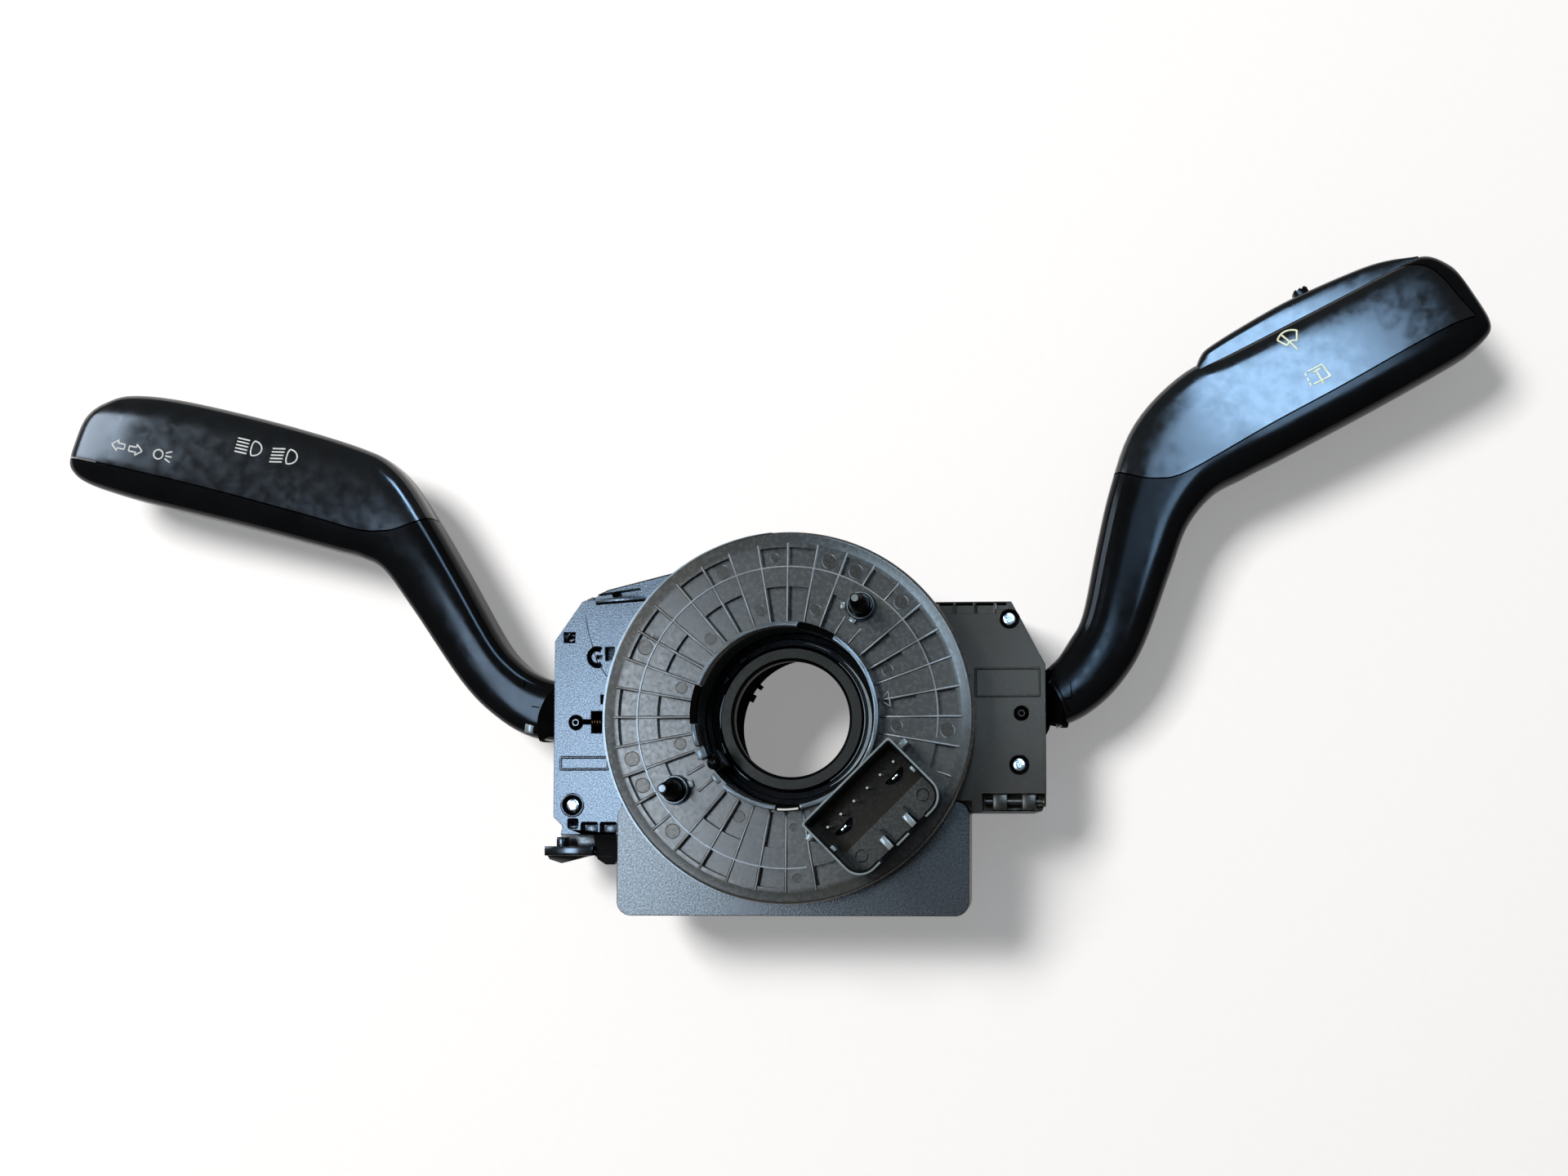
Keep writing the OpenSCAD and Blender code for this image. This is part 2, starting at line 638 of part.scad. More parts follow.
// Rotor: skirted disc with a hub tube that turns in the fixed half
module rotor_disc() {
    r = disc_d / 2;
    pitch = 360 / rib_count;
    f = disc_face;
    color(black) difference() {
        rotate_extrude(convexity = 6) polygon([[26.4, 25], [hub_r, 25], [hub_r, f - 2.4],
            [r - 2.2, f - 2.4], [r - 2.2, f - 8], [r, f - 8], [r, f - 1.8], [52, f],
            [27.8, f], [27.8, f + 4.6], [26.4, f + 4.6]]);
        for (k = [0:3:rib_count - 1], j = [1, 2], row = [0, 1]) {
            a = (k + j + 1) * pitch;
            skip = (row == 0 && ((a > 45 && a < 55) || (a > 205 && a < 215)))
                || (a > 265 && a < 275) || (a > 345 && a < 355);
            plug = a > 280 && a < 350;
            if (!skip && !plug)
                translate([0, 0, f - pocket_depth])
                    sector(row == 0 ? 39 : 50.8, row == 0 ? 28.6 : 45, 4,
                        a + 0.8, a + pitch - 0.8);
        }
        for (a = [280, 340]) translate([0, 0, f - pocket_depth])
            sector(50.8, 45, 4, a + 0.8, a + pitch - 0.8);
        for (n = [[58, 82], [160, 185], [265, 280], [199, 229]])
            translate([0, 0, f + 2.6]) sector(28.2, 26, 4, n[0], n[1]);
    }
    color(black) translate([0, 0, f - eps]) for (a = [56, 213.3]) rotate([0, 0, a])
        translate([driver_pin_r, 0, 0]) ring(5.9, 5.15, 0.8);
    color(black) difference() {
        translate([0, 0, f - eps]) union() {
            for (k = [0:rib_count - 1]) if (k * pitch <= 280 || k * pitch >= 350)
                rotate([0, 0, k * pitch]) translate([27.9, -0.3, 0])
                    cube([24.2, 0.6, rib_h]);
            sector(45.2, 44.7, rib_h, -8, 278);
        }
        for (a = [56, 213.3]) rotate([0, 0, a])
            translate([driver_pin_r, 0, f - 1]) cylinder(r = 5.8, h = 4);
    }
}

module cancel_ring() {
    color(steel) translate([0, 0, 36]) ring(21.6, 17.6, 2.6);
}

// Sleeve in the rotor hub with the lobes that cancel the turn lever
module cancel_cam_sleeve() {
    color("#2b2c30") difference() {
        union() {
            rotate_extrude(convexity = 6) polygon([[24.4, 22], [26.35, 22], [26.35, 37.6],
                [24.2, 37.6], [24.2, 37.2], [21.7, 37.2], [21.7, 36], [17.9, 36],
                [17.9, 33.6], [24.4, 33.6]]);
            for (a = [20:120:260]) translate([0, 0, 22.5]) sector(25.2, 22.8, 8, a, a + 26);
        }
        for (a = [130, 150]) rotate([0, 0, a]) translate([22.2, -1.4, 34.9])
            cube([2, 2.8, 4]);
    }
}

module driver_pins() {
    color(black) for (a = [56, 213.3]) rotate([0, 0, a])
        translate([driver_pin_r, 0, disc_face]) {
            cylinder(r = 3.8, h = 2.4);
            translate([0, 0, 2.4 - eps]) cylinder(r = 2.9, h = 4.2);
            translate([0, 0, 6.6 - 2 * eps])
                cylinder(r1 = 2.9, r2 = 1.3, h = driver_pin_h - 6.6);
        }
}

module pin_clips() {
    color(steel) for (a = [56, 213.3]) rotate([0, 0, a])
        translate([driver_pin_r, 0, disc_face]) difference() {
            cylinder(r = 4.9, h = 0.7, $fn = 6);
            translate([0, 0, -1]) cylinder(r = 3.85, h = 3, $fn = 48);
        }
}

// Socket for the wheel plug, across the lower right of the rotor
module at_socket() {
    translate([26.6, -26.8, disc_face]) rotate([0, 0, -45]) children();
}

module wheel_plug_socket() {
    w = socket_w;
    l = socket_l;
    h = socket_h;
    color(black) difference() {
        at_socket() socket_shell(w, l, h);
        cylinder(r = hub_r - 0.1, h = 80);
    }
    color(black) at_socket() for (s = [-1, 1]) {
        translate([w / 2 - 5.2, s * 4.2 - 1.1, 5 - eps]) cube([3.7, 2.2, 6]);
        translate([0.6, s * 6.6 - 0.4, 5 - eps]) cube([w / 2 - 2.1, 0.8, 2.6]);
    }
}

module socket_shell(w, l, h) {
    difference() {
        union() {
            translate([0, 0, 0]) linear_extrude(h) union() {
                translate([-w / 2, -l / 2]) square([w - 4, l]);
                translate([w / 2 - 4.1, -l / 2 + 4]) square([4.1, l - 8]);
                for (s = [-1, 1]) translate([w / 2 - 4, s * (l / 2 - 4)]) circle(r = 4);
            }
            for (s = [-1, 1]) translate([-w / 2 + 6, s * (l / 2 - 0.2) - 0.9, 0])
                cube([4, 1.8, h - 3]);
        }
        translate([-w / 2 + 1.6, -l / 2 + 1.6, 2.2]) cube([10.6, l - 3.2, h]);
        translate([-1, -l / 2 + 1.6, 5]) cube([w / 2 - 3.4, l - 3.2, h]);
        translate([4, -l / 2 + 5.6, 5]) cube([w / 2 - 5.6, l - 11.2, h]);
        translate([w / 2 - 4, -2.9, 6]) cube([8, 5.8, h]);
        for (s = [-1, 1]) translate([w / 2 - 4, s * 11 - 1.6, 9]) cube([8, 3.2, h]);
        for (s = [-1, 1]) translate([-1.75, s * 10.4, 1.3]) scale([0.42, 1, 1])
            cylinder(r = 3.4, h = h);
    }
}

module wheel_plug_pins() {
    color(brass) at_socket() for (k = [0:contact_count - 1])
        translate([-4.85, -13.4 + 26.8 / (contact_count - 1) * k, 2.2])
            cylinder(r = 0.5, h = 5.6);
}

module squib_contacts() {
    color(brass) at_socket() for (y = [-10.4, 10.4]) difference() {
        translate([-2.2, y - 1.4, 1.3]) cube([0.9, 2.8, 5.9]);
        translate([-3, y - 0.3, 4.2]) cube([3, 0.6, 5]);
    }
}

// Pin that holds the rotor centred until the wheel is fitted
module rotor_lock_pin() {
    color("#4a4c50") rotate([0, 0, 214.5]) translate([24.6, 0, 0]) difference() {
        translate([-2.4, -3, 37.62]) cube([4, 6, 11.2]);
        translate([-0.4, 0, 44]) cylinder(r = 1.3, h = 8);
    }
}

// Plug socket and circuit board behind the foot of the carrier
module rear_plug_socket() {
    color("#2c2d31") translate([0, board_y, 0]) difference() {
        union() {
            translate([0, 0, 10.8]) linear_extrude(2.2) rounded_square(87.8, 22.2, 2.4);
            for (x = [-1, 1]) translate([x * 21, 0, 0.8]) linear_extrude(10.1)
                rounded_square(34, 19, 1.6);
            for (x = [-1, 1]) translate([x * 21 - 3, -11, 0.8]) cube([6, 3, 10.1]);
        }
        for (x = [-1, 1]) translate([x * 21, 0, -1]) linear_extrude(11.6)
            rounded_square(30.8, 15.8, 0.8);
        for (x = [-1, 1], k = [-3:3], y = [-3.5, 3.5])
            translate([x * 21 + k * 3.8, y, 9]) cylinder(r = 0.5, h = 6);
    }
}

module rear_plug_pins() {
    color(brass) for (x = [-1, 1], k = [-3:3], y = [-3.5, 3.5])
        translate([x * 21 + k * 3.8, board_y + y, 6.4]) cylinder(r = 0.45, h = 8.8);
}

module main_circuit_board() {
    color("#2f6b3f") difference() {
        translate([0, board_y, 13]) linear_extrude(1.6) rounded_square(87.6, 22, 2.2);
        for (x = [-1, 1], k = [-3:3], y = [-3.5, 3.5])
            translate([x * 21 + k * 3.8, board_y + y, 12]) cylinder(r = 0.5, h = 4);
    }
}

// Grooved axle with two collars in the lower edge of the right cover
module hinge_axle() {
    color(black) translate([58.2, -25.2, 25]) rotate([0, 90, 0]) {
        cylinder(r = 1.7, h = 17.2);
        translate([0, 0, 2.6]) cylinder(r = 2.6, h = 4.2);
        translate([0, 0, 11.3]) cylinder(r = 2.6, h = 4.5);
        translate([0, 0, 17.2]) sphere(r = 1.7);
    }
    color(black) for (x = [59.4, 72.6])
        translate([x, -26.7, 22]) cube([1, 3, 1.8]);
}

// Release latch below the left housing
module latch_bracket() {
    color(grey) difference() {
        translate([0, 0, 9]) linear_extrude(16) polygon([[-65, -35], [-57.8, -35],
            [-57.8, -42.6], [-59.6, -44.2], [-61.9, -44.2], [-65, -42.4]]);
        translate([-66, -40.7, 20]) rotate([0, 90, 0]) cylinder(r = 1.55, h = 6);
    }
}

module latch_lever() {
    color(black) translate([0, -40.7, 20]) rotate([0, 90, 0]) {
        translate([0, 0, -65.6]) cylinder(r = 1.5, h = 5);
    }
    color(black) {
        translate([-81, -40.9, 17.5]) cube([15.4, 2.2, 6.2]);
        translate([-76.4, -38.8, 18.2]) cube([2.6, 2.6, 4]);
        translate([0, 0, 18.3]) linear_extrude(4.2) polygon([[-81, -40.8], [-65.7, -40.8],
            [-67.6, -42.3], [-71.5, -43.3], [-77, -43.6], [-80.3, -42.7]]);
    }
}

base_carrier();
column_clamp_bolt();
clock_spring_housing();
ribbon_coil();
left_housing();
left_cover();
right_housing();
right_cover();
cover_screws();
rear_screws();
left_detent_cam();
right_detent_cam();
left_contact_board();
right_contact_board();
left_contact_spring();
rear_plug_socket();
rear_plug_pins();
main_circuit_board();
hinge_axle();
latch_bracket();
latch_lever();
rotor_disc();
cancel_ring();
cancel_cam_sleeve();
driver_pins();
pin_clips();
wheel_plug_socket();
wheel_plug_pins();
squib_contacts();
rotor_lock_pin();
left_yoke();
left_lever_head();
left_cross_pin();
left_detent_plunger();
left_detent_spring();
left_stalk();
left_stalk_cover();
right_yoke();
right_lever_head();
right_cross_pin();
right_detent_plunger();
right_detent_spring();
right_stalk();
right_stalk_cover();
interval_rail();
interval_slider();
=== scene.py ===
from math import atan2, copysign, cos, degrees, hypot, pi, radians, sin, tan, tau

import bpy
import bmesh
from mathutils import Matrix, Vector
from mathutils.bvhtree import BVHTree


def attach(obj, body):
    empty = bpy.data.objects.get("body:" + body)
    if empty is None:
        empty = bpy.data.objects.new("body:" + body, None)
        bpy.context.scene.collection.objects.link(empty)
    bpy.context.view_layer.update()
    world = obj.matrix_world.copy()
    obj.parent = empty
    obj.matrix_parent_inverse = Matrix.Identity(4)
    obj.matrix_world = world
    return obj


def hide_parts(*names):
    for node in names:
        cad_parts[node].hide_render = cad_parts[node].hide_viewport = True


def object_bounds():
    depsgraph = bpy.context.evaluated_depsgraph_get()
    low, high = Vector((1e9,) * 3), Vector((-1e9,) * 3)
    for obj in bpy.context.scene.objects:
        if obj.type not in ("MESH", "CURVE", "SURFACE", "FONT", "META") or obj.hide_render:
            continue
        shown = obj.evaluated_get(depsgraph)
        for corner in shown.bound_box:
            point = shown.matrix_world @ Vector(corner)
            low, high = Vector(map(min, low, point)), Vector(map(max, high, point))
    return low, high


# Looks of a steering column switch: lever handles, rotor face, covers, plugs and metal parts
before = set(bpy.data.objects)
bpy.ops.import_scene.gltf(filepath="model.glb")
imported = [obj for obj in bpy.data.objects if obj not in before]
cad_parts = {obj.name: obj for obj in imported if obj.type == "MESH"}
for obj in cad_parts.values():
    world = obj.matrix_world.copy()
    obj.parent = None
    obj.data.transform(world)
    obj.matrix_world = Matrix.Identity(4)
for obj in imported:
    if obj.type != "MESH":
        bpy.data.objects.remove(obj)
cadBox = [list(corner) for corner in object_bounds()]
mm = 0.001
addToScene = bpy.context.scene.collection.objects.link
print("frame loaded")


# Colours and nodes

def hexColour(code):
    parts = [int(code[i:i + 2], 16) / 255 for i in (1, 3, 5)]
    return [p / 12.92 if p <= 0.04045 else ((p + 0.055) / 1.055) ** 2.4 for p in parts] + [1.0]


def addNode(tree, kind, settings=None, links=None):
    node = tree.nodes.new("ShaderNode" + kind)
    for key, value in (settings or {}).items():
        if hasattr(node, key):
            setattr(node, key, value)
        else:
            node.inputs[key].default_value = value
    for key, source in (links or {}).items():
        tree.links.new(source, node.inputs[key])
    return node


def newMaterial(name):
    material = bpy.data.materials.new(name)
    material.use_nodes = True
    material.node_tree.nodes.clear()
    return material, material.node_tree


# What plastic and metal share: two tones mixed, and one grain for both roughness and bump
def shadeSurface(tree, look, tone, grain, strength, settings):
    colour = addNode(tree, "MixRGB", {"Color1": hexColour(look["colour"]),
                                      "Color2": hexColour(look["worn"])},
                     {"Fac": tone})
    low, high = look["rough"]
    rough = addNode(tree, "MapRange", {"From Min": 0.3, "From Max": 0.7, "To Min": low, "To Max": high},
                    {"Value": grain})
    bump = addNode(tree, "Bump", {"Strength": strength, "Distance": look["height"] * mm}, {"Height": grain})
    shader = addNode(tree, "BsdfPrincipled", settings,
                     {"Base Color": colour.outputs["Color"], "Roughness": rough.outputs["Result"],
                      "Normal": bump.outputs["Normal"]})
    addNode(tree, "OutputMaterial", {}, {"Surface": shader.outputs["BSDF"]})


# One moulded plastic: cloudy tone, spark-eroded grain and a roughness that wanders a little
def mouldedPlastic(name, look):
    material, tree = newMaterial(name)
    place = addNode(tree, "TexCoord").outputs["Object"]
    cloud = addNode(tree, "TexNoise", {"Scale": 1000 / look["cloud"], "Detail": 4.0}, {"Vector": place})
    grain = addNode(tree, "TexNoise", {"Scale": 1000 / look["grain"], "Detail": 2.0, "Roughness": 0.6},
                    {"Vector": place})
    spread = addNode(tree, "MapRange", {"From Min": 0.32, "From Max": 0.68},
                     {"Value": cloud.outputs["Fac"]})
    shadeSurface(tree, look, spread.outputs["Result"], grain.outputs["Fac"], look["strength"],
                 {"IOR": look["ior"], "Specular Tint": hexColour(look.get("tint", "#ffffff"))})
    return material


# Metal with tool marks: fine stretched noise turns into bump and roughness
def workedMetal(name, look):
    material, tree = newMaterial(name)
    place = addNode(tree, "TexCoord").outputs["Object"]
    marks = addNode(tree, "Mapping", {"Scale": look["stretch"]}, {"Vector": place})
    noise = addNode(tree, "TexNoise", {"Scale": 1000 / look["grain"], "Detail": 3.0},
                    {"Vector": marks.outputs["Vector"]})
    stain = addNode(tree, "TexNoise", {"Scale": 1000 / look["cloud"], "Detail": 2.0}, {"Vector": place})
    shadeSurface(tree, look, stain.outputs["Fac"], noise.outputs["Fac"], 0.35, {"Metallic": 1.0})
    return material


# Acetal, moulded against a polished tool, with a warm tint on its sheen
rotorAcetal = mouldedPlastic("acetalMoulded", dict(
    colour="#353a3b", worn="#3d403e", cloud=14, grain=1.4, height=0.03, strength=0.5, rough=(0.2, 0.32),
    ior=1.5, tint="#ffe7d2"))
# A darker tone of it for small flats, marks and floors, which beside the ribs is painted shade
rotorDarkAndShade = mouldedPlastic("acetalDarkAndShade", dict(
    colour="#25292a", worn="#2d2e2b", cloud=5, grain=1.0, height=0.02, strength=0.4, rough=(0.22, 0.32),
    ior=1.45, tint="#ffe2c8"))
# A lighter grey of it on the collar top, the lock ears and the pocket ribs
rotorCollar = mouldedPlastic("acetalLighterGrey", dict(
    colour="#5a6264", worn="#4c5254", cloud=4, grain=0.8, height=0.01, strength=0.3, rough=(0.2, 0.3),
    ior=1.5))
# The same acetal made pale on the narrow ribs, the thin band and the pointer: painted highlight on their
# edges
rotorHighlight = mouldedPlastic("acetalPaintedHighlight", dict(
    colour="#92979a", worn="#767978", cloud=9, grain=0.6, height=0.01, strength=0.3, rough=(0.2, 0.3),
    ior=1.5))
# Glass-filled polyamide from a spark-eroded tool: leathery speckle that scatters the window
coverPolyamide = mouldedPlastic("polyamideSparkEroded", dict(
    colour="#1b1d1f", worn="#262729", cloud=22, grain=0.5, height=0.035, strength=0.9, rough=(0.2, 0.34),
    ior=1.6))
# The right cover and housing: the cover plastic made browner, with a warm tint on its sheen that takes the
# blue out of the window
coverBrownTinted = mouldedPlastic("polyamideBrownTinted", dict(
    colour="#222120", worn="#2a2927", cloud=18, grain=0.5, height=0.03, strength=0.7, rough=(0.18, 0.28),
    ior=1.5, tint="#ffdfc0"))
# Floor of the socket, out of the light: a blacker plastic with the same warm tint on its sheen
socketFloor = mouldedPlastic("polyamideSocketFloor", dict(
    colour="#14120f", worn="#1a1814", cloud=18, grain=0.5, height=0.02, strength=0.5, rough=(0.18, 0.28),
    ior=1.36, tint="#ffdfc0"))
# The plastic of the covers with a coarser skin, on the big square foot
footPolyamide = mouldedPlastic("polyamideOrangePeel", dict(
    colour="#222528", worn="#1b1e21", cloud=30, grain=0.6, height=0.035, strength=0.9, rough=(0.22, 0.34),
    ior=1.6, tint="#fff2e4"))
# Satin lacquer over moulded ABS: smooth, with the soft broad sheen hands leave behind
leverLacquer = mouldedPlastic("absSatinLacquer", dict(
    colour="#101315", worn="#15181a", cloud=7, grain=4, height=0.012, strength=0.2, rough=(0.11, 0.2),
    ior=1.5))
# Bare moulded ABS of the lever bodies: blacker than the lacquer, with a much fainter sheen
leverAbs = mouldedPlastic("absMouldedMatt", dict(
    colour="#0a0b0c", worn="#0e0f11", cloud=12, grain=4, height=0.01, strength=0.15, rough=(0.1, 0.16),
    ior=1.2))
# Polished black PBT of plugs, pins and sleeve: crisp thin highlights on near black
plugPbt = mouldedPlastic("pbtPolished", dict(
    colour="#0d0e0f", worn="#151617", cloud=7, grain=2, height=0.004, strength=0.1, rough=(0.12, 0.2),
    ior=1.45))
# Its corners and tabs in a pale grey: painted highlight that draws every outline as a pale thread
paleHighlight = mouldedPlastic("pbtPaintedHighlight", dict(
    colour="#8d999b", worn="#6f7a7c", cloud=5, grain=0.8, height=0.006, strength=0.2, rough=(0.16, 0.26),
    ior=1.5))
# Pale matt caps on the contact ends: painted highlight that keeps the tinned tips bright in the dark socket
tinTipHighlight = mouldedPlastic("tinPaintedHighlight", dict(
    colour="#eceade", worn="#d2cfbf", cloud=1, grain=0.3, height=0.004, strength=0.2, rough=(0.35, 0.5),
    ior=1.6))
# Dull greased black of sleeves and pin roots: swallows the window
greasedBlack = mouldedPlastic("acetalGreasedBlack", dict(
    colour="#060606", worn="#0b0b0b", cloud=6, grain=1.2, height=0.006, strength=0.2, rough=(0.12, 0.2),
    ior=1.16))
# Matt black polyamide that gives nothing back: the lever heads and yokes, and painted shade in recesses
mattBlackAndShade = mouldedPlastic("polyamideMattBlackAndShade", dict(
    colour="#050505", worn="#090909", cloud=6, grain=1.2, height=0.01, strength=0.2, rough=(0.55, 0.7),
    ior=1.02))
# Natural acetal of yokes and detent tracks: milky, slightly waxy
acetalNatural = mouldedPlastic("acetalNatural", dict(
    colour="#d9d6cb", worn="#cbc7ba", cloud=8, grain=0.7, height=0.02, strength=0.3, rough=(0.3, 0.42),
    ior=1.48))
# Pad-printed inks: the white one chalky, the cream one smooth
inkWhite = mouldedPlastic("inkWhitePadPrinted", dict(
    colour="#f2f4f2", worn="#dfe3df", cloud=2, grain=0.4, height=0.004, strength=0.3, rough=(0.45, 0.6),
    ior=1.48))
inkCream = mouldedPlastic("inkCreamPadPrinted", dict(
    colour="#f6ffe0", worn="#eef6d2", cloud=2, grain=0.4, height=0.004, strength=0.1, rough=(0.12, 0.2),
    ior=1.6))
# Polyester film of the coil and solder-masked laminate of the boards
cableFilm = mouldedPlastic("polyesterFilm", dict(
    colour="#b98d55", worn="#a87c46", cloud=5, grain=0.6, height=0.01, strength=0.2, rough=(0.22, 0.34),
    ior=1.64))
boardLaminate = mouldedPlastic("laminateSolderMask", dict(
    colour="#235a35", worn="#2c6a40", cloud=6, grain=0.5, height=0.01, strength=0.3, rough=(0.3, 0.44),
    ior=1.52))
# Zinc-plated steel, cold-headed: bright with small cloudy patches
zincSteel = workedMetal("steelZincPlated", dict(
    colour="#d6d8da", worn="#b4b6b6", cloud=3, grain=0.4, stretch=(1, 1, 1), height=0.01,
    rough=(0.16, 0.3)))
# Turned grey ring with a dull tumbled skin
turnedZinc = workedMetal("zincTurned", dict(
    colour="#29241e", worn="#211c17", cloud=9, grain=0.8, stretch=(1, 1, 6), height=0.01,
    rough=(0.36, 0.5)))
# Spring steel, blackened by heat treatment, bright where the tool rubbed
springSteel = workedMetal("steelSpringTempered", dict(
    colour="#2c2e2f", worn="#1c1d1e", cloud=2, grain=0.6, stretch=(1, 1, 1), height=0.004,
    rough=(0.26, 0.38)))
tinnedBrass = workedMetal("brassTinned", dict(
    colour="#e4dfcf", worn="#c9bd9d", cloud=2, grain=0.5, stretch=(1, 1, 0.3), height=0.006,
    rough=(0.12, 0.24)))
copperWire = workedMetal("copperDrawn", dict(
    colour="#5e4030", worn="#3a271d", cloud=2, grain=0.4, stretch=(3, 0.6, 3), height=0.006,
    rough=(0.18, 0.3)))
print("materials made")


# Mesh helpers, all in millimetres until a piece is finished

def finishPiece(name, bm, material, body, stands=(), sharp=38):
    bmesh.ops.scale(bm, vec=(mm, mm, mm), verts=bm.verts)
    for face in bm.faces:
        face.smooth = True
    for edge in bm.edges:
        edge.smooth = edge.is_manifold and edge.calc_face_angle() < radians(sharp)
    mesh = bpy.data.meshes.new(name)
    bm.to_mesh(mesh)
    bm.free()
    mesh.materials.append(material)
    piece = bpy.data.objects.new(name, mesh)
    addToScene(piece)
    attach(piece, body)
    if stands:
        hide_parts(*stands)
    return piece


# Copy of a CAD node as clean flat faces, ready to have its edges rounded
def copyNode(node):
    bm = bmesh.new()
    bm.from_mesh(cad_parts[node].data)
    bmesh.ops.scale(bm, vec=(1 / mm, 1 / mm, 1 / mm), verts=bm.verts)
    bmesh.ops.remove_doubles(bm, verts=bm.verts, dist=0.002)
    bmesh.ops.dissolve_limit(bm, angle_limit=radians(0.5), verts=bm.verts, edges=bm.edges)
    return bm


def bevelEdges(bm, edges, width, clamp):
    bmesh.ops.bevel(bm, geom=edges, offset=width, offset_type="OFFSET", affect="EDGES", segments=2,
                    profile=0.5, material=-1, clamp_overlap=clamp)


def roundEdges(bm, width, fromAngle):
    edges = [e for e in bm.edges if e.is_manifold and e.calc_face_angle() > radians(fromAngle)]
    bevelEdges(bm, edges, width, False)
    return bm


def lathe(profile, steps=64, at=(0, 0, 0)):
    bm = bmesh.new()
    verts = [bm.verts.new((r, 0, z)) for r, z in profile]
    edges = [bm.edges.new(pair) for pair in zip(verts, verts[1:])]
    if profile[0][0] > 0:
        edges.append(bm.edges.new((verts[-1], verts[0])))
    bmesh.ops.spin(bm, geom=verts + edges, axis=(0, 0, 1), cent=(0, 0, 0), angle=tau, steps=steps,
                   use_merge=True, use_duplicate=False)
    bmesh.ops.remove_doubles(bm, verts=bm.verts, dist=0.001)
    bmesh.ops.recalc_face_normals(bm, faces=bm.faces)
    bmesh.ops.translate(bm, vec=at, verts=bm.verts)
    return bm


def turned(place, turn):
    return Matrix.Translation(place) @ Matrix.Rotation(radians(turn), 4, "Z")


def addBlock(bm, size, centre, turn=0.0, bevel=0.0):
    matrix = turned(centre, turn) @ Matrix.Diagonal((*size, 1))
    verts = bmesh.ops.create_cube(bm, size=1, matrix=matrix)["verts"]
    if bevel:
        bevelEdges(bm, list({e for v in verts for e in v.link_edges}), bevel, True)


def addParts(bm, other):
    mesh = bpy.data.meshes.new("part")
    other.to_mesh(mesh)
    other.free()
    bm.from_mesh(mesh)
    bpy.data.meshes.remove(mesh)
    return bm


# Boolean of two bmeshes through the modifier
def carve(bm, tool, operation):
    pair = []
    for source in (bm, tool):
        mesh = bpy.data.meshes.new("carve")
        source.to_mesh(mesh)
        source.free()
        pair.append(bpy.data.objects.new("carve", mesh))
        addToScene(pair[-1])
    cut = pair[0].modifiers.new("cut", "BOOLEAN")
    cut.object, cut.operation, cut.solver = pair[1], operation, "EXACT"
    graph = bpy.context.evaluated_depsgraph_get()
    result = bmesh.new()
    result.from_mesh(pair[0].evaluated_get(graph).data)
    for item in pair:
        mesh = item.data
        bpy.data.objects.remove(item)
        bpy.data.meshes.remove(mesh)
    return result


def vertsOf(geom):
    return [g for g in geom if isinstance(g, bmesh.types.BMVert)]


def prism(points, low, high):
    bm = bmesh.new()
    face = bm.faces.new([bm.verts.new((x, y, low)) for x, y in points])
    bmesh.ops.recalc_face_normals(bm, faces=[face])
    grown = bmesh.ops.extrude_face_region(bm, geom=[face], use_keep_orig=True)["geom"]
    bmesh.ops.translate(bm, vec=(0, 0, high - low), verts=vertsOf(grown))
    bmesh.ops.recalc_face_normals(bm, faces=bm.faces)
    return bm


def smoothRun(points, steps):
    run = []
    for i in range(len(points) - 1):
        a, b, c, d = (points[min(max(i + k, 0), len(points) - 1)] for k in (-1, 0, 1, 2))
        for k in range(steps):
            t = k / steps
            run.append([0.5 * (2 * q + (r - p) * t + (2 * p - 5 * q + 4 * r - s) * t * t
                               + (3 * q - p - 3 * r + s) * t ** 3) for p, q, r, s in zip(a, b, c, d)])
    return run + [list(points[-1])]


# Skin over stations x, y, z, heading, half width and half thickness, grown ring by ring
def skin(stations, around=72, exponent=0.6):
    bm = bmesh.new()
    order = bm.verts.layers.int.new("order")
    ring = bmesh.ops.create_circle(bm, segments=around, radius=1)["verts"]
    for k, vert in enumerate(ring):
        vert[order] = k

    def power(value):
        return copysign(abs(value) ** exponent, value)

    def place(verts, station):
        x, y, z, heading, width, thick = station
        h = radians(heading)
        for vert in verts:
            a = tau * vert[order] / around
            w, t = width * power(cos(a)), thick * power(sin(a))
            vert.co = (x - w * sin(h), y + w * cos(h), z + t)

    place(ring, stations[0])
    edges = list(bm.edges)
    first = list(edges)
    for station in stations[1:]:
        grown = bmesh.ops.extrude_edge_only(bm, edges=edges)["geom"]
        place(vertsOf(grown), station)
        edges = [g for g in grown if isinstance(g, bmesh.types.BMEdge) and all(v in grown for v in g.verts)]
    bmesh.ops.edgeloop_fill(bm, edges=first)
    bmesh.ops.edgeloop_fill(bm, edges=edges)
    bmesh.ops.recalc_face_normals(bm, faces=bm.faces)
    return bm


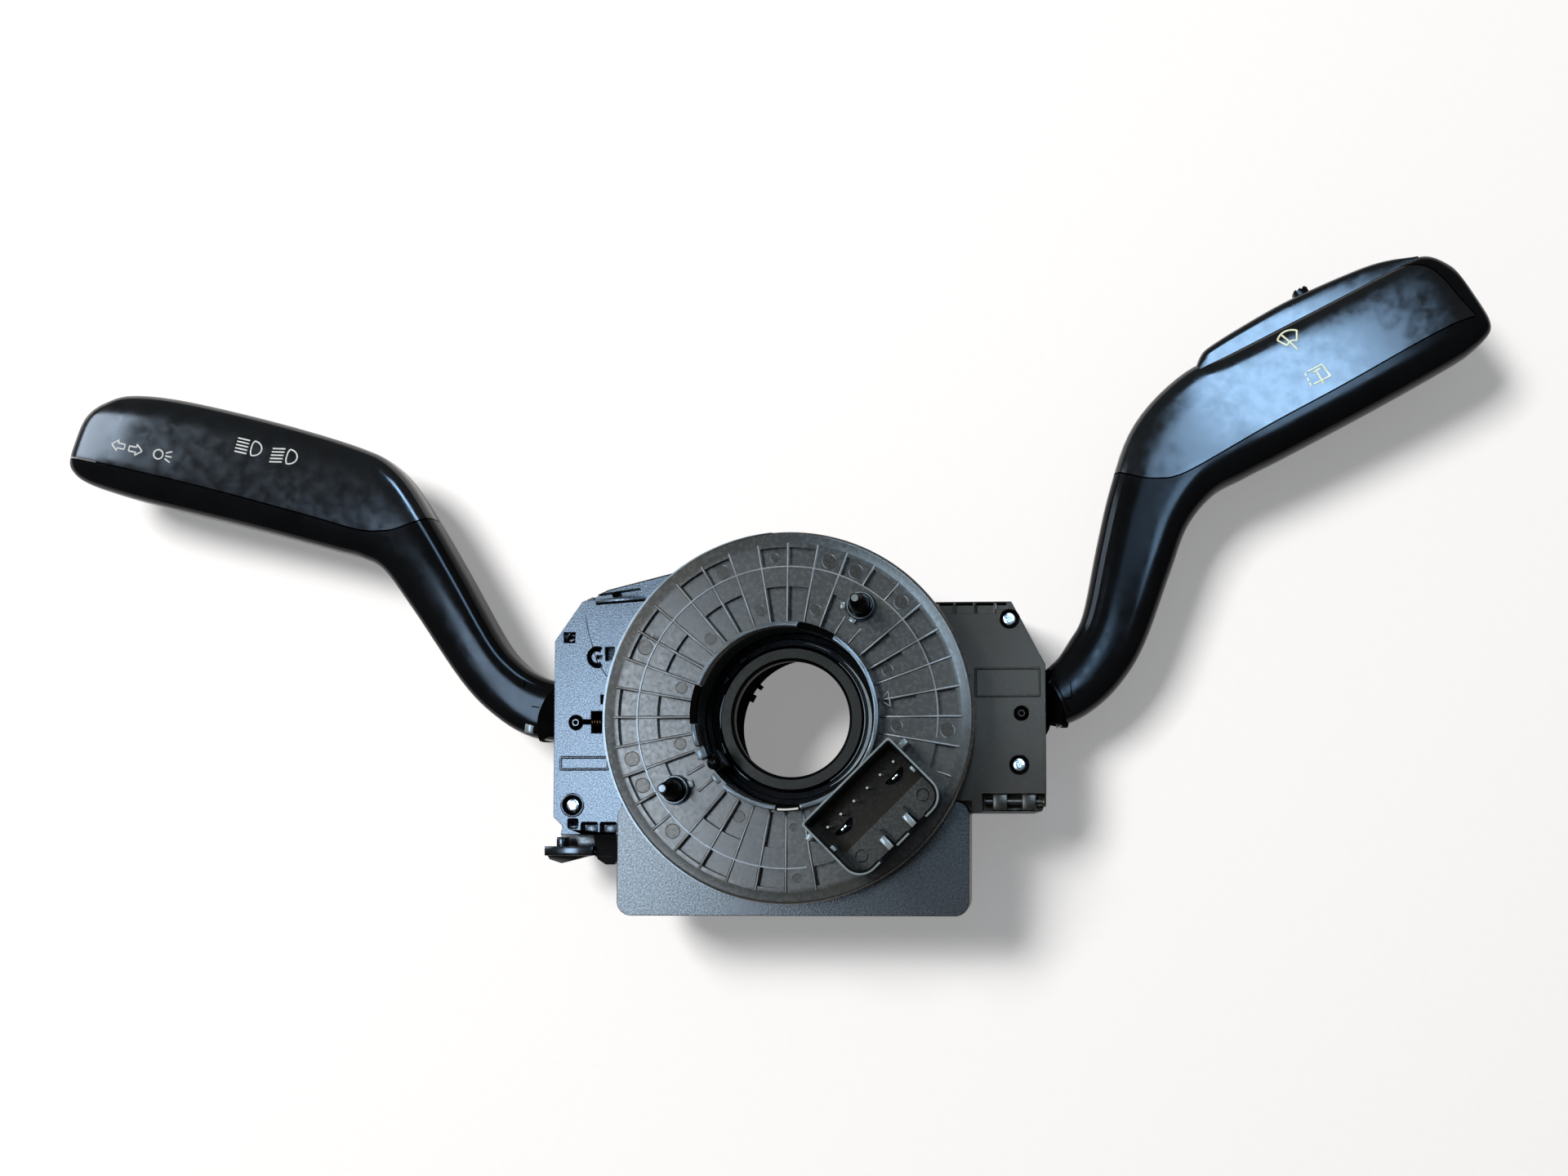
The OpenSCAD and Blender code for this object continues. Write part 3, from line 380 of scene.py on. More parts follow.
# Lever handles: the same stations as the solids, with more rings, split at the part line
leftLever = dict(
    stations=[[-78, 4, 16.5, 174, 9.5, 7.4], [-86.1, 6, 16.5, 168, 9.9, 7.6],
        [-94.3, 10.9, 16.6, 156, 9.6, 7.8], [-103.5, 20.5, 16.8, 136, 9.3, 7.9],
        [-117.7, 43, 17.4, 124, 10.2, 8], [-128.1, 58.8, 18, 138, 11.7, 8],
        [-137.3, 68.6, 18.6, 160, 15.7, 8], [-148.1, 73.3, 19, 165, 17.2, 8], [-175, 81, 20, 165, 17.7, 8],
        [-205.2, 88.3, 21, 165, 17.6, 8], [-221.2, 91.4, 21.6, 166, 16.2, 7.8],
        [-229.3, 92, 22, 163, 13.8, 7], [-234, 92.1, 22.2, 162, 10.6, 5.4],
        [-236.2, 91.5, 22.3, 161, 7.2, 3.2], [-237.3, 91.2, 22.3, 161, 4.5, 1.6]],
    seam=[[-245, 88], [-226, 83.8], [-191, 75.4], [-156.5, 66], [-143.5, 62.2], [-135.8, 61.3],
        [-127.3, 62.8], [-112, 70]],
    crease=[], far=[[-112, 120], [-245, 120]], parting=17.0, gap=0.45, body="left_lever")
rightLever = dict(
    stations=[[78.6, 7.6, 16.5, 12, 9.2, 7.4], [85.6, 12, 16.5, 24, 10.2, 7.6],
        [92.4, 19.1, 16.6, 48, 10.6, 7.8], [98.5, 29.6, 17, 66, 10.8, 7.9],
        [104.7, 51.3, 17.8, 72, 12.3, 8], [109.7, 68, 18.4, 66, 13.6, 8], [117.8, 83.3, 19, 50, 16.8, 8],
        [130.9, 94.1, 19.6, 32, 19.1, 8], [143.6, 99.8, 20.1, 27.5, 18.5, 8],
        [171.8, 114.2, 20.9, 26.5, 18.2, 8], [194.7, 126.3, 21.8, 28, 17.7, 7.8],
        [202.4, 130.2, 22.1, 28, 16.7, 7.2], [208, 131.4, 22.3, 30.5, 13.2, 5.4],
        [210.2, 131.5, 22.4, 32, 9.8, 3.4], [211.2, 131.1, 22.5, 33, 6.4, 1.6]],
    seam=[[94, 77.6], [99, 78], [103.5, 76.7], [107.5, 75.6], [112.1, 75.3], [117.2, 75.8], [124.7, 79.1],
        [146.7, 91.5], [169, 103.3], [191.3, 115.7], [202.3, 121.3], [209.6, 124.2]],
    crease=[[209.2, 125.2], [204.6, 130], [199.6, 136.1], [195.3, 139.8], [190.2, 141.2], [184.3, 140.5],
        [176.9, 137.2], [165, 131]],
    far=[[160, 150], [94, 150]], parting=17.0, gap=0.45, body="right_lever", railAt=(160, 127.6, 20.6),
    railTurn=26.6)


def leverSkin(lever):
    return skin(smoothRun(lever["stations"], 6))


def atRail(bm, lever):
    bmesh.ops.transform(bm, matrix=turned(lever["railAt"], lever["railTurn"]), verts=bm.verts)
    return bm


# Shrinks a closed outline, whichever way round it runs
def shrinkOutline(points, distance):
    turn = sum(a[0] * b[1] - b[0] * a[1] for a, b in zip(points, points[1:] + points[:1]))
    side = 1 if turn > 0 else -1
    moved = []
    for k, (x, y) in enumerate(points):
        ahead, behind = points[(k + 1) % len(points)], points[k - 1]
        along = Vector((ahead[0] - behind[0], ahead[1] - behind[1])).normalized()
        moved.append((x - along.y * side * distance, y + along.x * side * distance))
    return moved


def splitLever(side, lever):
    region = smoothRun(lever["seam"], 5)
    if lever["crease"]:
        region += smoothRun(lever["crease"], 4)
    region = [tuple(point) for point in region + lever["far"]]
    for part in ("stalk", "stalk_cover"):
        whole = leverSkin(lever)
        if "railAt" in lever:
            slab = bmesh.new()
            addBlock(slab, (77.6, 12, 18), (-0.1, 5.9, 0))
            whole = carve(whole, atRail(slab, lever), "DIFFERENCE")
        move = lever["gap"] if part == "stalk_cover" else 0.0
        tool = prism(shrinkOutline(region, move), lever["parting"] + move, 60)
        bm = carve(whole, tool, "INTERSECT" if move else "DIFFERENCE")
        bmesh.ops.remove_doubles(bm, verts=bm.verts, dist=0.01)
        bmesh.ops.dissolve_degenerate(bm, dist=0.01, edges=bm.edges)
        finishPiece(f"{side}_handle_{part}", bm, leverLacquer if move else leverAbs, lever["body"],
                    [f"{side}_{part}"], sharp=50)


splitLever("left", leftLever)
splitLever("right", rightLever)


# Rail along the right handle: a lens lofted from ring to ring, with the groove of the knob
rail = dict(
    outline=[(-38.8, 1.9), (-37.4, 3.3), (-35.6, 4.7), (-33.3, 5.7), (-27, 6.5), (-20, 7.0), (-13, 7.4),
        (-6, 7.6), (1, 7.4), (8.2, 7.0), (14.5, 6.5), (20.6, 5.9), (25.8, 5.0), (30.4, 3.6), (33.9, 2.1),
        (36.8, 0.7)],
    top=4.4, slope=0.03, groove=(19, 8, 4), grooveAt=(1.3, 6.9, 0), knob=(8.6, 3.4, 3.4),
    knobAt=(1.3, 4.9, 0), thumb=(4.6, 2.6, 3.4), thumbAt=(1.3, 7.8, 0))


def railProfile(reach):
    points = []
    for k in range(9):
        a = radians(90 * k / 8)
        points.append((reach * sin(a) ** 0.55, rail["top"] * cos(a) ** 0.55))
    return [(-0.1, rail["top"])] + points + [(y, -z) for y,
                                             z in reversed(points[:-1])] + [(-0.1, -rail["top"])]


def buildRail():
    bm = bmesh.new()
    rings = [[bm.verts.new((x, y, z + (rail["slope"] * x if z > 0 else 0))) for y, z in railProfile(reach)]
             for x, reach in smoothRun(rail["outline"], 3)]
    for ring in rings:
        for a, b in zip(ring, ring[1:] + ring[:1]):
            bm.edges.new((a, b))
    for first, second in zip(rings, rings[1:]):
        edges = [e for e in bm.edges if (e.verts[0] in first and e.verts[1] in first)
                 or (e.verts[0] in second and e.verts[1] in second)]
        bmesh.ops.bridge_loops(bm, edges=edges)
    for ring in (rings[0], rings[-1]):
        bmesh.ops.contextual_create(bm, geom=ring)
    bmesh.ops.recalc_face_normals(bm, faces=bm.faces)
    slot = bmesh.new()
    addBlock(slot, rail["groove"], rail["grooveAt"])
    return atRail(carve(bm, slot, "DIFFERENCE"), rightLever)


finishPiece("interval_rail_skin", buildRail(), leverLacquer, "right_lever", stands=["interval_rail"],
            sharp=32)
knob = bmesh.new()
addBlock(knob, rail["knob"], rail["knobAt"], bevel=0.3)
addBlock(knob, rail["thumb"], rail["thumbAt"], bevel=0.4)
for shift in (-1.5, 0, 1.5):
    addBlock(knob, (0.8, 0.8, 3.2), (rail["thumbAt"][0] + shift, 9.05, 0), bevel=0.25)
finishPiece("interval_knob_grip", atRail(knob, rightLever), leverAbs, "interval_knob",
            stands=["interval_slider"])
print("handles made")


# Rotor face: a spun profile whose pockets are pushed in between thin ribs
rotor = dict(
    face=46.0, pocket=1.4, steps=720, ribHeight=0.35, ribWidth=0.42, ribShadeWidth=1.0, ribShadeHeight=0.04,
    cell=10, cellWall=0.6, inner=(28.6, 39), outer=(45, 50.8), band=(44.75, 45.15, 0.3, -8, 278),
    notches=((58, 82), (160, 185), (265, 280), (199, 229)), notchFloor=48.4)
rotorProfile = [
    (26.4, 25), (28, 25), (28, 43.6), (53.4, 43.6), (53.4, 38), (55.6, 38), (55.6, 44.7), (55.52, 45.1),
    (55.3, 45.42), (55, 45.6), (54.7, 45.68), (54.5, 45.7), (52.1, 45.98), (52, 46), (50.8, 46), (45, 46),
    (39, 46), (28.6, 46), (28, 46), (27.9, 49.8), (27.5, 50.4), (27.1, 50.6), (26.8, 50.4), (26.4, 49.6)]
ejectors = [(48, a, 2.3) for a in (45, 65, 75, 114.5, 154, 195, 205, 225, 355)] + [(48, a,
                                                                                    1.5) for a in (95,
                                                                                                   274)] + [
    (32.9, a, 1.85) for a in (25, 75, 104.5, 134.5, 164.5, 194, 244, 355)] + [(32.9, 274, 1.3)]
pointer = dict(angle=9.6, apex=28.4, base=31.0, half=2.3, width=0.38, height=0.45)


def inPocket(radius, angle):
    cell = int(angle // rotor["cell"]) * rotor["cell"]
    if not cell + rotor["cellWall"] < angle < cell + rotor["cell"] - rotor["cellWall"]:
        return False
    inner, outer = (low < radius < high for low, high in (rotor["inner"], rotor["outer"]))
    if outer and cell in (280, 340):
        return True
    if cell % 30 == 10 or cell in (270, 350) or 280 < cell < 340 or (inner and cell in (50, 210)):
        return False
    return inner or outer


def bearing(point):
    return degrees(atan2(point.y, point.x)) % 360


def evenly(start, end, steps):
    return [start + (end - start) * k / steps for k in range(steps + 1)]


def polar(radius, angle):
    return radius * cos(radians(angle)), radius * sin(radians(angle))


def buildRotor():
    bm = lathe(rotorProfile, rotor["steps"])
    top = []
    for face in bm.faces:
        c = face.calc_center_median()
        if abs(c.z - rotor["face"]) < 0.01 and inPocket(hypot(c.x, c.y), bearing(c)):
            top.append(face)
    grown = bmesh.ops.extrude_face_region(bm, geom=top)["geom"]
    bmesh.ops.translate(bm, vec=(0, 0, -rotor["pocket"]), verts=vertsOf(grown))
    bmesh.ops.delete(bm, geom=top, context="FACES")
    for vert in bm.verts:
        angle = bearing(vert.co)
        if vert.co.z > rotor["notchFloor"] and any(a - 0.1 < angle < b + 0.1 for a, b in rotor["notches"]):
            vert.co.z = rotor["notchFloor"]
    return bm


def addRibs(bm, width, height):
    for angle in range(0, 360, rotor["cell"]):
        spans = [(28.0, 52.1)]
        if 280 < angle < 350:
            spans = [(47.5, 52.1)] if angle == 340 else []
        elif angle in (50, 60, 210, 220):
            spans = [(28.0, 34.4), (44.9, 52.1)]
        for start, end in spans:
            x, y = polar((start + end) / 2, angle)
            addBlock(bm, (end - start, width, height + 0.2), (x, y, rotor["face"] + height / 2 - 0.1),
                     angle, width / 4)


def arcBand(inner, outer, low, high, start, end, steps=90):
    turns = evenly(start, end, steps)
    return prism([polar(outer, a) for a in turns] + [polar(inner, a) for a in reversed(turns)], low, high)


# Pale ribs and a thin pale band near r 45: painted highlight on their edges
ribMesh = bmesh.new()
addRibs(ribMesh, rotor["ribWidth"], rotor["ribHeight"])
face = rotor["face"]
inner, outer, rise, start, end = rotor["band"]
addParts(ribMesh, arcBand(inner, outer, face - 0.1, face + rise, start, end, 180))
finishPiece("rotor_ribs", ribMesh, rotorHighlight, "rotor", sharp=50)
# Dark flats: painted shade lines beside the ribs, the cups left by the ejector pins and two small holes drawn
# as dark discs
flatMesh = bmesh.new()
addRibs(flatMesh, rotor["ribShadeWidth"], rotor["ribShadeHeight"])
rotorMesh = buildRotor()
for radius, angle, size in ejectors + [(46.6, 149.1, 0.9), (45.1, 159.2, 0.9)]:
    spot = (*polar(radius, angle), face - (rotor["pocket"] if inPocket(radius, angle) else 0))
    addParts(flatMesh, lathe([(size - 0.14, -0.2), (size, -0.2), (size, 0.1), (size - 0.14, 0.1)], 40,
                             spot))
    addParts(flatMesh, lathe([(0, -0.2), (size - 0.28, -0.2), (size - 0.28, 0.06), (0, 0.06)], 40,
                             spot))
    addParts(rotorMesh, lathe([(size - 0.3, -0.2), (size - 0.3, 0.08), (size - 0.1, 0.12), (size, 0.05),
                               (size, -0.2)],
                              40, spot))
finishPiece("rotor_dark_flats", flatMesh, rotorDarkAndShade, "rotor", sharp=50)
# Pale pointer triangle: painted highlight on its edges
baseX, baseY = polar(pointer["base"], pointer["angle"])
along, across = polar(pointer["half"], pointer["angle"])
corners = [polar(pointer["apex"], pointer["angle"])] + [(baseX - s * across, baseY + s * along) for s in (1,
                                                                                                          -1)]
pointerMesh = bmesh.new()
for (ax, ay), (bx, by) in zip(corners, corners[1:] + corners[:1]):
    addBlock(pointerMesh, (hypot(bx - ax, by - ay) + pointer["width"], pointer["width"],
                           pointer["height"] + 0.2),
             ((ax + bx) / 2, (ay + by) / 2, face + pointer["height"] / 2 - 0.1),
             degrees(atan2(by - ay, bx - ax)), 0.1)
finishPiece("rotor_pointer", pointerMesh, rotorHighlight, "rotor", sharp=50)
finishPiece("rotor_face", rotorMesh, rotorAcetal, "rotor", ["rotor_disc"], sharp=30)

# Outer edge: a pale arc along its left side, painted highlight where it faces the lamps
edgeHighlightArc = dict(start=95, end=250, outer=55.58, inner=55.43, width=0.5, low=45.0, high=45.62)
turns = evenly(edgeHighlightArc["start"], edgeHighlightArc["end"], 90)
edgeArc = [polar(edgeHighlightArc["outer"], a) for a in turns]
for a in reversed(turns):
    part = (a - edgeHighlightArc["start"]) * 180 / (edgeHighlightArc["end"] - edgeHighlightArc["start"])
    edgeArc.append(polar(edgeHighlightArc["inner"] - edgeHighlightArc["width"] * sin(radians(part)), a))
finishPiece("rotor_edge_rubbed", prism(edgeArc, edgeHighlightArc["low"], edgeHighlightArc["high"]), paleHighlight, "rotor")

# Collar top between the notches, and black fills in the notches: painted shade
rimMesh, shadeMesh = bmesh.new(), bmesh.new()
for start, end in ((82, 160), (185, 199), (229, 265), (280, 418)):
    addParts(rimMesh, roundEdges(arcBand(26.5, 27.8, 50.2, 50.72, start, end), 0.15, fromAngle=60))
finishPiece("rotor_collar_rim", rimMesh, rotorCollar, "rotor", sharp=30)
for start, end in ((58.5, 81.5), (160.5, 184.5), (265.5, 279.5)):
    addParts(shadeMesh, arcBand(26.3, 28.1, 48.3, 50.2, start, end, 24))
finishPiece("rotor_notch_shades", shadeMesh, mattBlackAndShade, "rotor", sharp=30)
# A pale arc on the edge of the bottom notch: painted highlight
finishPiece("rotor_notch_edge", arcBand(27.3, 27.85, 50.1, 50.4, 266, 279, 16), acetalNatural, "rotor")
print("rotor made")


# Turned parts in and on the rotor
ringSpec = dict(profile=[(17.6, 36.1), (21.6, 36.1), (21.6, 38.3), (21.35, 38.6), (18.5, 38.6),
                         (17.6, 37.7)])
finishPiece("cancel_ring_turned", lathe(ringSpec["profile"], 144), turnedZinc, "rotor",
            ["cancel_ring"], sharp=20)

sleeve = dict(
    profile=[(24.4, 22), (26.35, 22), (26.35, 37.2), (25.9, 37.6), (24.5, 37.6), (24.2, 37.3), (22.5, 37.2),
        (22.1, 37.0), (21.75, 36.6), (21.75, 36), (17.9, 36), (17.9, 33.6), (24.4, 33.6)],
    highlightArcs=((22.2, 0.15, -58, 50), (23.5, 0.9, -60, 48), (21.9, 0.15, 160, 187), (22.6, 0.2, 199, 235),
        (23.4, 0.1, 60, 82)))
sleeveMesh = lathe(sleeve["profile"], 144)
for a in (130, 150):
    addBlock(sleeveMesh, (1.6, 2.4, 2), (*polar(23.4, a), 38.0), a, 0.2)
finishPiece("cancel_sleeve_lipped", sleeveMesh, greasedBlack, "rotor", stands=["cancel_cam_sleeve"],
            sharp=20)
# Pale crescents on the sleeve's inner edges: painted highlight
sleeveHighlightMesh = bmesh.new()
for radius, width, start, end in sleeve["highlightArcs"]:
    turns = evenly(start, end, 60)
    crescent = [polar(radius + width * sin(pi * k / 60), a) for k, a in enumerate(turns)]
    addParts(sleeveHighlightMesh, prism(crescent + [polar(radius - 0.1, a) for a in reversed(turns)], 36.4, 37.7))
finishPiece("sleeve_lips", sleeveHighlightMesh, paleHighlight, "rotor", sharp=50)

pin = dict(
    profile=[(0, -0.3), (3.8, -0.3), (3.8, 1.9), (3.5, 2.3), (3.1, 2.4), (2.9, 2.6), (2.9, 6.4), (2.8, 6.8),
        (1.45, 14.6), (1.2, 14.9), (0, 14.95)],
    angles=(56, 213.3), radius=39.5)
pinMesh = bmesh.new()
for a in pin["angles"]:
    addParts(pinMesh, lathe(pin["profile"], 64, (*polar(pin["radius"], a), face)))
finishPiece("driver_pins_turned", pinMesh, greasedBlack, "rotor", stands=["driver_pins"], sharp=30)

# Spring clips round the pin feet: a washer with a bent tab on either side
clip = dict(
    ring=[(3.85, 0), (4.4, 0), (4.5, 0.1), (4.5, 0.3), (4.4, 0.4), (3.85, 0.4)], tab=(1.3, 2.0, 0.9),
    tabs=((56, 177, 5.4), (56, 239, 4.9), (213.3, 22, 4.9)))
# Pale tabs, flange rims and pin tops: painted highlight
clipMesh, edgeMesh = bmesh.new(), bmesh.new()
for a in pin["angles"]:
    x, y = polar(pin["radius"], a)
    addParts(clipMesh, lathe(clip["ring"], 6 * 8, (x, y, face)))
    addParts(edgeMesh, lathe([(3.75, 2.0), (4.05, 2.0), (4.05, 2.45), (3.95, 2.55), (3.75, 2.55)], 64,
                             (x, y, face)))
    addParts(edgeMesh, lathe([(0, 14.8), (1.0, 14.8), (1.0, 14.96), (0, 14.98)], 32, (x, y, face)))
for a, turn, reach in clip["tabs"]:
    x, y = polar(pin["radius"], a)
    dx, dy = polar(reach, turn)
    addBlock(edgeMesh, clip["tab"], (x + dx, y + dy, face + 0.65), turn, 0.15)
finishPiece("pin_flange_edges", edgeMesh, paleHighlight, "rotor", sharp=30)
finishPiece("pin_clips_bent", clipMesh, springSteel, "rotor", ["pin_clips"], sharp=30)

# Lock pin head: two ears beside a dark ball socket
lock = dict(
    angle=213, stem=(4.0, 5.6, 10.4), ball=2.1,
    ears=(((3.0, 3.4, 0.4), (-24.6, -11.0, 50.2), 204), ((1.4, 3.4, 0.5), (-20.6, -18.4, 48.6), 222)))
lockMesh = bmesh.new()
x, y = polar(24.4, lock["angle"])
addBlock(lockMesh, lock["stem"], (x, y, 42.9), lock["angle"], 0.3)
earMesh = bmesh.new()
for size, centre, turn in lock["ears"]:
    addBlock(earMesh, size, centre, turn, 0.15)
finishPiece("rotor_lock_ears", earMesh, rotorCollar, "rotor", sharp=30)
bmesh.ops.create_uvsphere(lockMesh, u_segments=32, v_segments=16, radius=lock["ball"],
                          matrix=Matrix.Translation((*polar(25.4, lock["angle"]), 47.6)))
finishPiece("rotor_lock_ball", lockMesh, greasedBlack, "rotor", ["rotor_lock_pin"],
            sharp=30)
print("turned parts made")


# Prismatic parts keep the shape of the solids and take on the small radii of the mould
softened = [
    ("left_cover", coverPolyamide, "base", "black_plastic", 0.2),
    ("right_cover", coverBrownTinted, "base", "black_plastic", 0.16),
    ("left_housing", coverPolyamide, "base", "black_plastic", 0.16),
    ("right_housing", coverBrownTinted, "base", "black_plastic", 0.12),
    ("clock_spring_housing", footPolyamide, "base", "black_plastic", 0.25),
    ("base_carrier", coverPolyamide, "base", "black_plastic", 0.25),
    ("rear_plug_socket", plugPbt, "base", "black_plastic", 0.08),
    ("column_clamp_bolt", zincSteel, "base", "steel", 0.15),
    ("rear_screws", zincSteel, "base", "steel", 0.12),
    ("left_lever_head", mattBlackAndShade, "left_lever", "black_plastic", 0.2),
    ("right_lever_head", mattBlackAndShade, "right_lever", "black_plastic", 0.16),
]
for node, material, body, slotName, radius in softened:
    bm = roundEdges(copyNode(node), radius, fromAngle=50)
    finishPiece(node + "_moulded", bm, material, body, [node], sharp=20)
print("moulded copies made")


# Closed outline from corners x, y, radius
def roundedOutline(corners, steps=8):
    points = []
    for k, (x, y, radius) in enumerate(corners):
        here = Vector((x, y))
        back, ahead = [(Vector(corners[m][:2]) - here).normalized() for m in (k - 1,
                                                                              (k + 1) % len(corners))]
        half = back.angle(ahead) / 2
        middle = here + (back + ahead).normalized() * radius / sin(half)
        start, end = [here + way * radius / tan(half) - middle for way in (back, ahead)]
        sweep = start.angle_signed(end, 0.0)
        for n in range(steps + 1):
            turn = -sweep * n / steps
            points.append((middle.x + start.x * cos(turn) - start.y * sin(turn),
                           middle.y + start.x * sin(turn) + start.y * cos(turn)))
    return points


# Plug socket of the wheel: tall rim, a deep half for the pins and three shallow chambers
plug = dict(
    at=(26.6, -26.8, 46.0), turn=-45, high=14.0, wall=1.25, deep=2.2, shallow=5.0, step=3.6,
    ends=(-10.5, 13.6, 17.7), corner=6.0, squibs=(-10.5, 10.5), row=(-5.0, -13.4, 5.36, 6))
left, right, side = plug["ends"]
wall = plug["wall"]


def plugOutline(inset):
    return roundedOutline([(left + inset, -side + inset, 0.8),
                           (right - inset, -side + inset, plug["corner"] - inset),
                           (right - inset, side - inset, plug["corner"] - inset),
                           (left + inset, side - inset, 0.8)])


def squibHole(y):
    return prism([(-2.9 + 2.5 * sin(pi * t / 12), y + 3.5 * cos(pi * t / 12)) for t in range(13)],
                 0.6, 30)


plugMesh = prism(plugOutline(0), -0.1, plug["high"])
for tool in (prism(plugOutline(wall), plug["shallow"], 30),
             prism([(left + wall, -side + wall), (plug["step"], -side + wall), (plug["step"], side - wall),
                    (left + wall, side - wall)], plug["deep"], 30),
             prism([(right - 2, 2.4), (right + 1, 2.4), (right + 1, 9.2), (right - 2, 9.2)], 9.5, 30),
             prism([(right - 2, -9.2), (right + 1, -9.2), (right + 1, -2.4), (right - 2, -2.4)], 9.5, 30)):
    plugMesh = carve(plugMesh, tool, "DIFFERENCE")
for y in plug["squibs"]:
    plugMesh = carve(plugMesh, squibHole(y), "DIFFERENCE")
for y in (6.3, -3.1):
    addBlock(plugMesh, (6.4, 0.7, 3.2), (right - 4.2, y, 5.8), 0, 0.15)
for x, y in ((7.7, 12.6), (7.7, -12.6)):
    addParts(plugMesh, lathe([(1.6, 4.9), (1.6, 5.08), (1.75, 5.12), (1.9, 5.08), (1.9, 4.9)], 40,
                             (x, y, 0)))


def contactRow(profile, steps):
    x, first, pitch, count = plug["row"]
    row = bmesh.new()
    for k in range(count):
        addParts(row, lathe(profile, steps, (x, first + pitch * k, 0)))
    return row


def atPlug(bm):
    bmesh.ops.transform(bm, matrix=turned(plug["at"], plug["turn"]), verts=bm.verts)
    return bm


finishPiece("wheel_plug_shell", atPlug(plugMesh), greasedBlack, "rotor", stands=["wheel_plug_socket"],
            sharp=24)
# Pale rim as painted highlight, open above the two latch slots, with pale tabs and studs
high = plug["high"]
edging = carve(prism(plugOutline(0.05), high - 0.2, high + 0.06),
               prism(plugOutline(0.62), high - 1, high + 1), "DIFFERENCE")
for y in (-5.8, 5.8):
    slot = bmesh.new()
    addBlock(slot, (4, 6.8, 4), (right, y, high))
    edging = carve(edging, slot, "DIFFERENCE")
for size, centre in [((4.2, 1.9, 5.4), (right - 3.2, 4.9, 7.2)),
                     ((4.2, 1.9, 5.4), (right - 3.2, -4.4, 7.2)),
                     ((1.9, 1.3, 4.4), (1.0, side - 1.5, 10.8)),
                     ((1.9, 1.3, 4.4), (1.0, -side + 1.5, 10.8)),
                     ((1.7, 3.0, 8.4), (-6.7, side + 1.2, 4.2)),
                     ((1.7, 3.0, 8.4), (-6.7, -side - 1.2, 4.2))]:
    addBlock(edging, size, centre, 0, 0.18)
finishPiece("wheel_plug_edging", atPlug(edging), paleHighlight, "rotor", sharp=24)
inner = wall + 0.06
chamber = roundedOutline([(plug["step"] + 0.1, -side + inner, 0.3),
                          (right - inner, -side + inner, plug["corner"] - inner),
                          (right - inner, side - inner, plug["corner"] - inner),
                          (plug["step"] + 0.1, side - inner, 0.3)])
finishPiece("wheel_plug_chamber", atPlug(prism(chamber, plug["shallow"] - 0.1, plug["shallow"] + 0.05)),
            rotorDarkAndShade,
            "rotor")
deepFloor = prism([(left + inner, -side + inner), (plug["step"] - 0.1, -side + inner),
                   (plug["step"] - 0.1, side - inner),
                   (left + inner, side - inner)], plug["deep"] - 0.1, plug["deep"] + 0.06)
for y in plug["squibs"]:
    deepFloor = carve(deepFloor, squibHole(y), "DIFFERENCE")
finishPiece("wheel_plug_floor", atPlug(deepFloor), socketFloor, "rotor")
# Pale caps on the contact tips: painted highlight
tips = contactRow([(0, 7.9), (0.4, 7.9), (0.36, 8.1), (0, 8.14)], 20)
needles = contactRow([(0, 1.8), (0.5, 1.8), (0.5, 7.2), (0.42, 7.6), (0.22, 8.0), (0, 8.05)], 24)
finishPiece("wheel_plug_tips", atPlug(tips), tinTipHighlight, "rotor", sharp=60)
finishPiece("wheel_plug_needles", atPlug(needles), tinnedBrass, "rotor", ["wheel_plug_pins"],
            sharp=40)
blades = bmesh.new()
for y in plug["squibs"]:
    for part in (-1, 1):
        addBlock(blades, (0.7, 0.9, 5.6), (-1.7, y + 0.6 * part, 3.2), 0, 0.15)
finishPiece("squib_blades", atPlug(blades), tinnedBrass, "rotor", ["squib_contacts"], sharp=40)
print("plug made")

# Turned part laid along X
def alongX(bm, y, z):
    bmesh.ops.transform(bm, matrix=Matrix.Translation((0, y, z)) @ Matrix.Rotation(radians(90), 4, "Y"),
                        verts=bm.verts)
    return bm


# Release latch: glossy finger strip over a wedge that falls away, on a chamfered black bracket
latchPivot = (-40.7, 20)
strip = dict(size=(15.4, 3.0, 5.6), at=(-73.3, -40.2, 20.7), lug=((2.6, 3.2, 4.6), (-76.3, -37.4, 20.0)))
latchMesh = bmesh.new()
addBlock(latchMesh, strip["size"], strip["at"], 0, 0.25)
addBlock(latchMesh, *strip["lug"], 0, 0.3)
wedge = prism([(-81, -40.7), (-67.0, -40.7), (-67.6, -41.9), (-71.5, -42.9), (-77, -44.2), (-80.3, -42.9)],
              18.3, 22.5)
for vert in wedge.verts:
    if vert.co.z > 22 and vert.co.y < -41:
        vert.co.z = 19.2 + 1.2 * (vert.co.y + 44.2)
addParts(latchMesh, roundEdges(wedge, 0.1, fromAngle=30))
addParts(latchMesh, alongX(lathe([(0, -65.6), (1.5, -65.6), (1.5, -60.6), (0, -60.6)], 32), *latchPivot))
finishPiece("latch_finger", latchMesh, plugPbt, "latch", stands=["latch_lever"], sharp=30)
block = carve(prism([(-65, -34.8), (-58.2, -34.8), (-58.2, -42.9), (-59.8, -44.6), (-62.6, -44.6),
                     (-65, -42.8)], 9, 25),
              alongX(lathe([(0, -66), (1.56, -66), (1.56, -60), (0, -60)], 32), *latchPivot), "DIFFERENCE")
for vert in block.verts:
    if vert.co.z > 24:
        vert.co.z = 24.9 - 0.55 * (-34.8 - vert.co.y)
finishPiece("latch_block", roundEdges(block, 0.12, fromAngle=40), plugPbt, "base", stands=["latch_bracket"],
            sharp=24)
ledge = bmesh.new()
addBlock(ledge, (14.0, 4.6, 6.2), (-71.6, -37.2, 12.4), 0, 0.25)
finishPiece("latch_ledge", ledge, footPolyamide, "base")

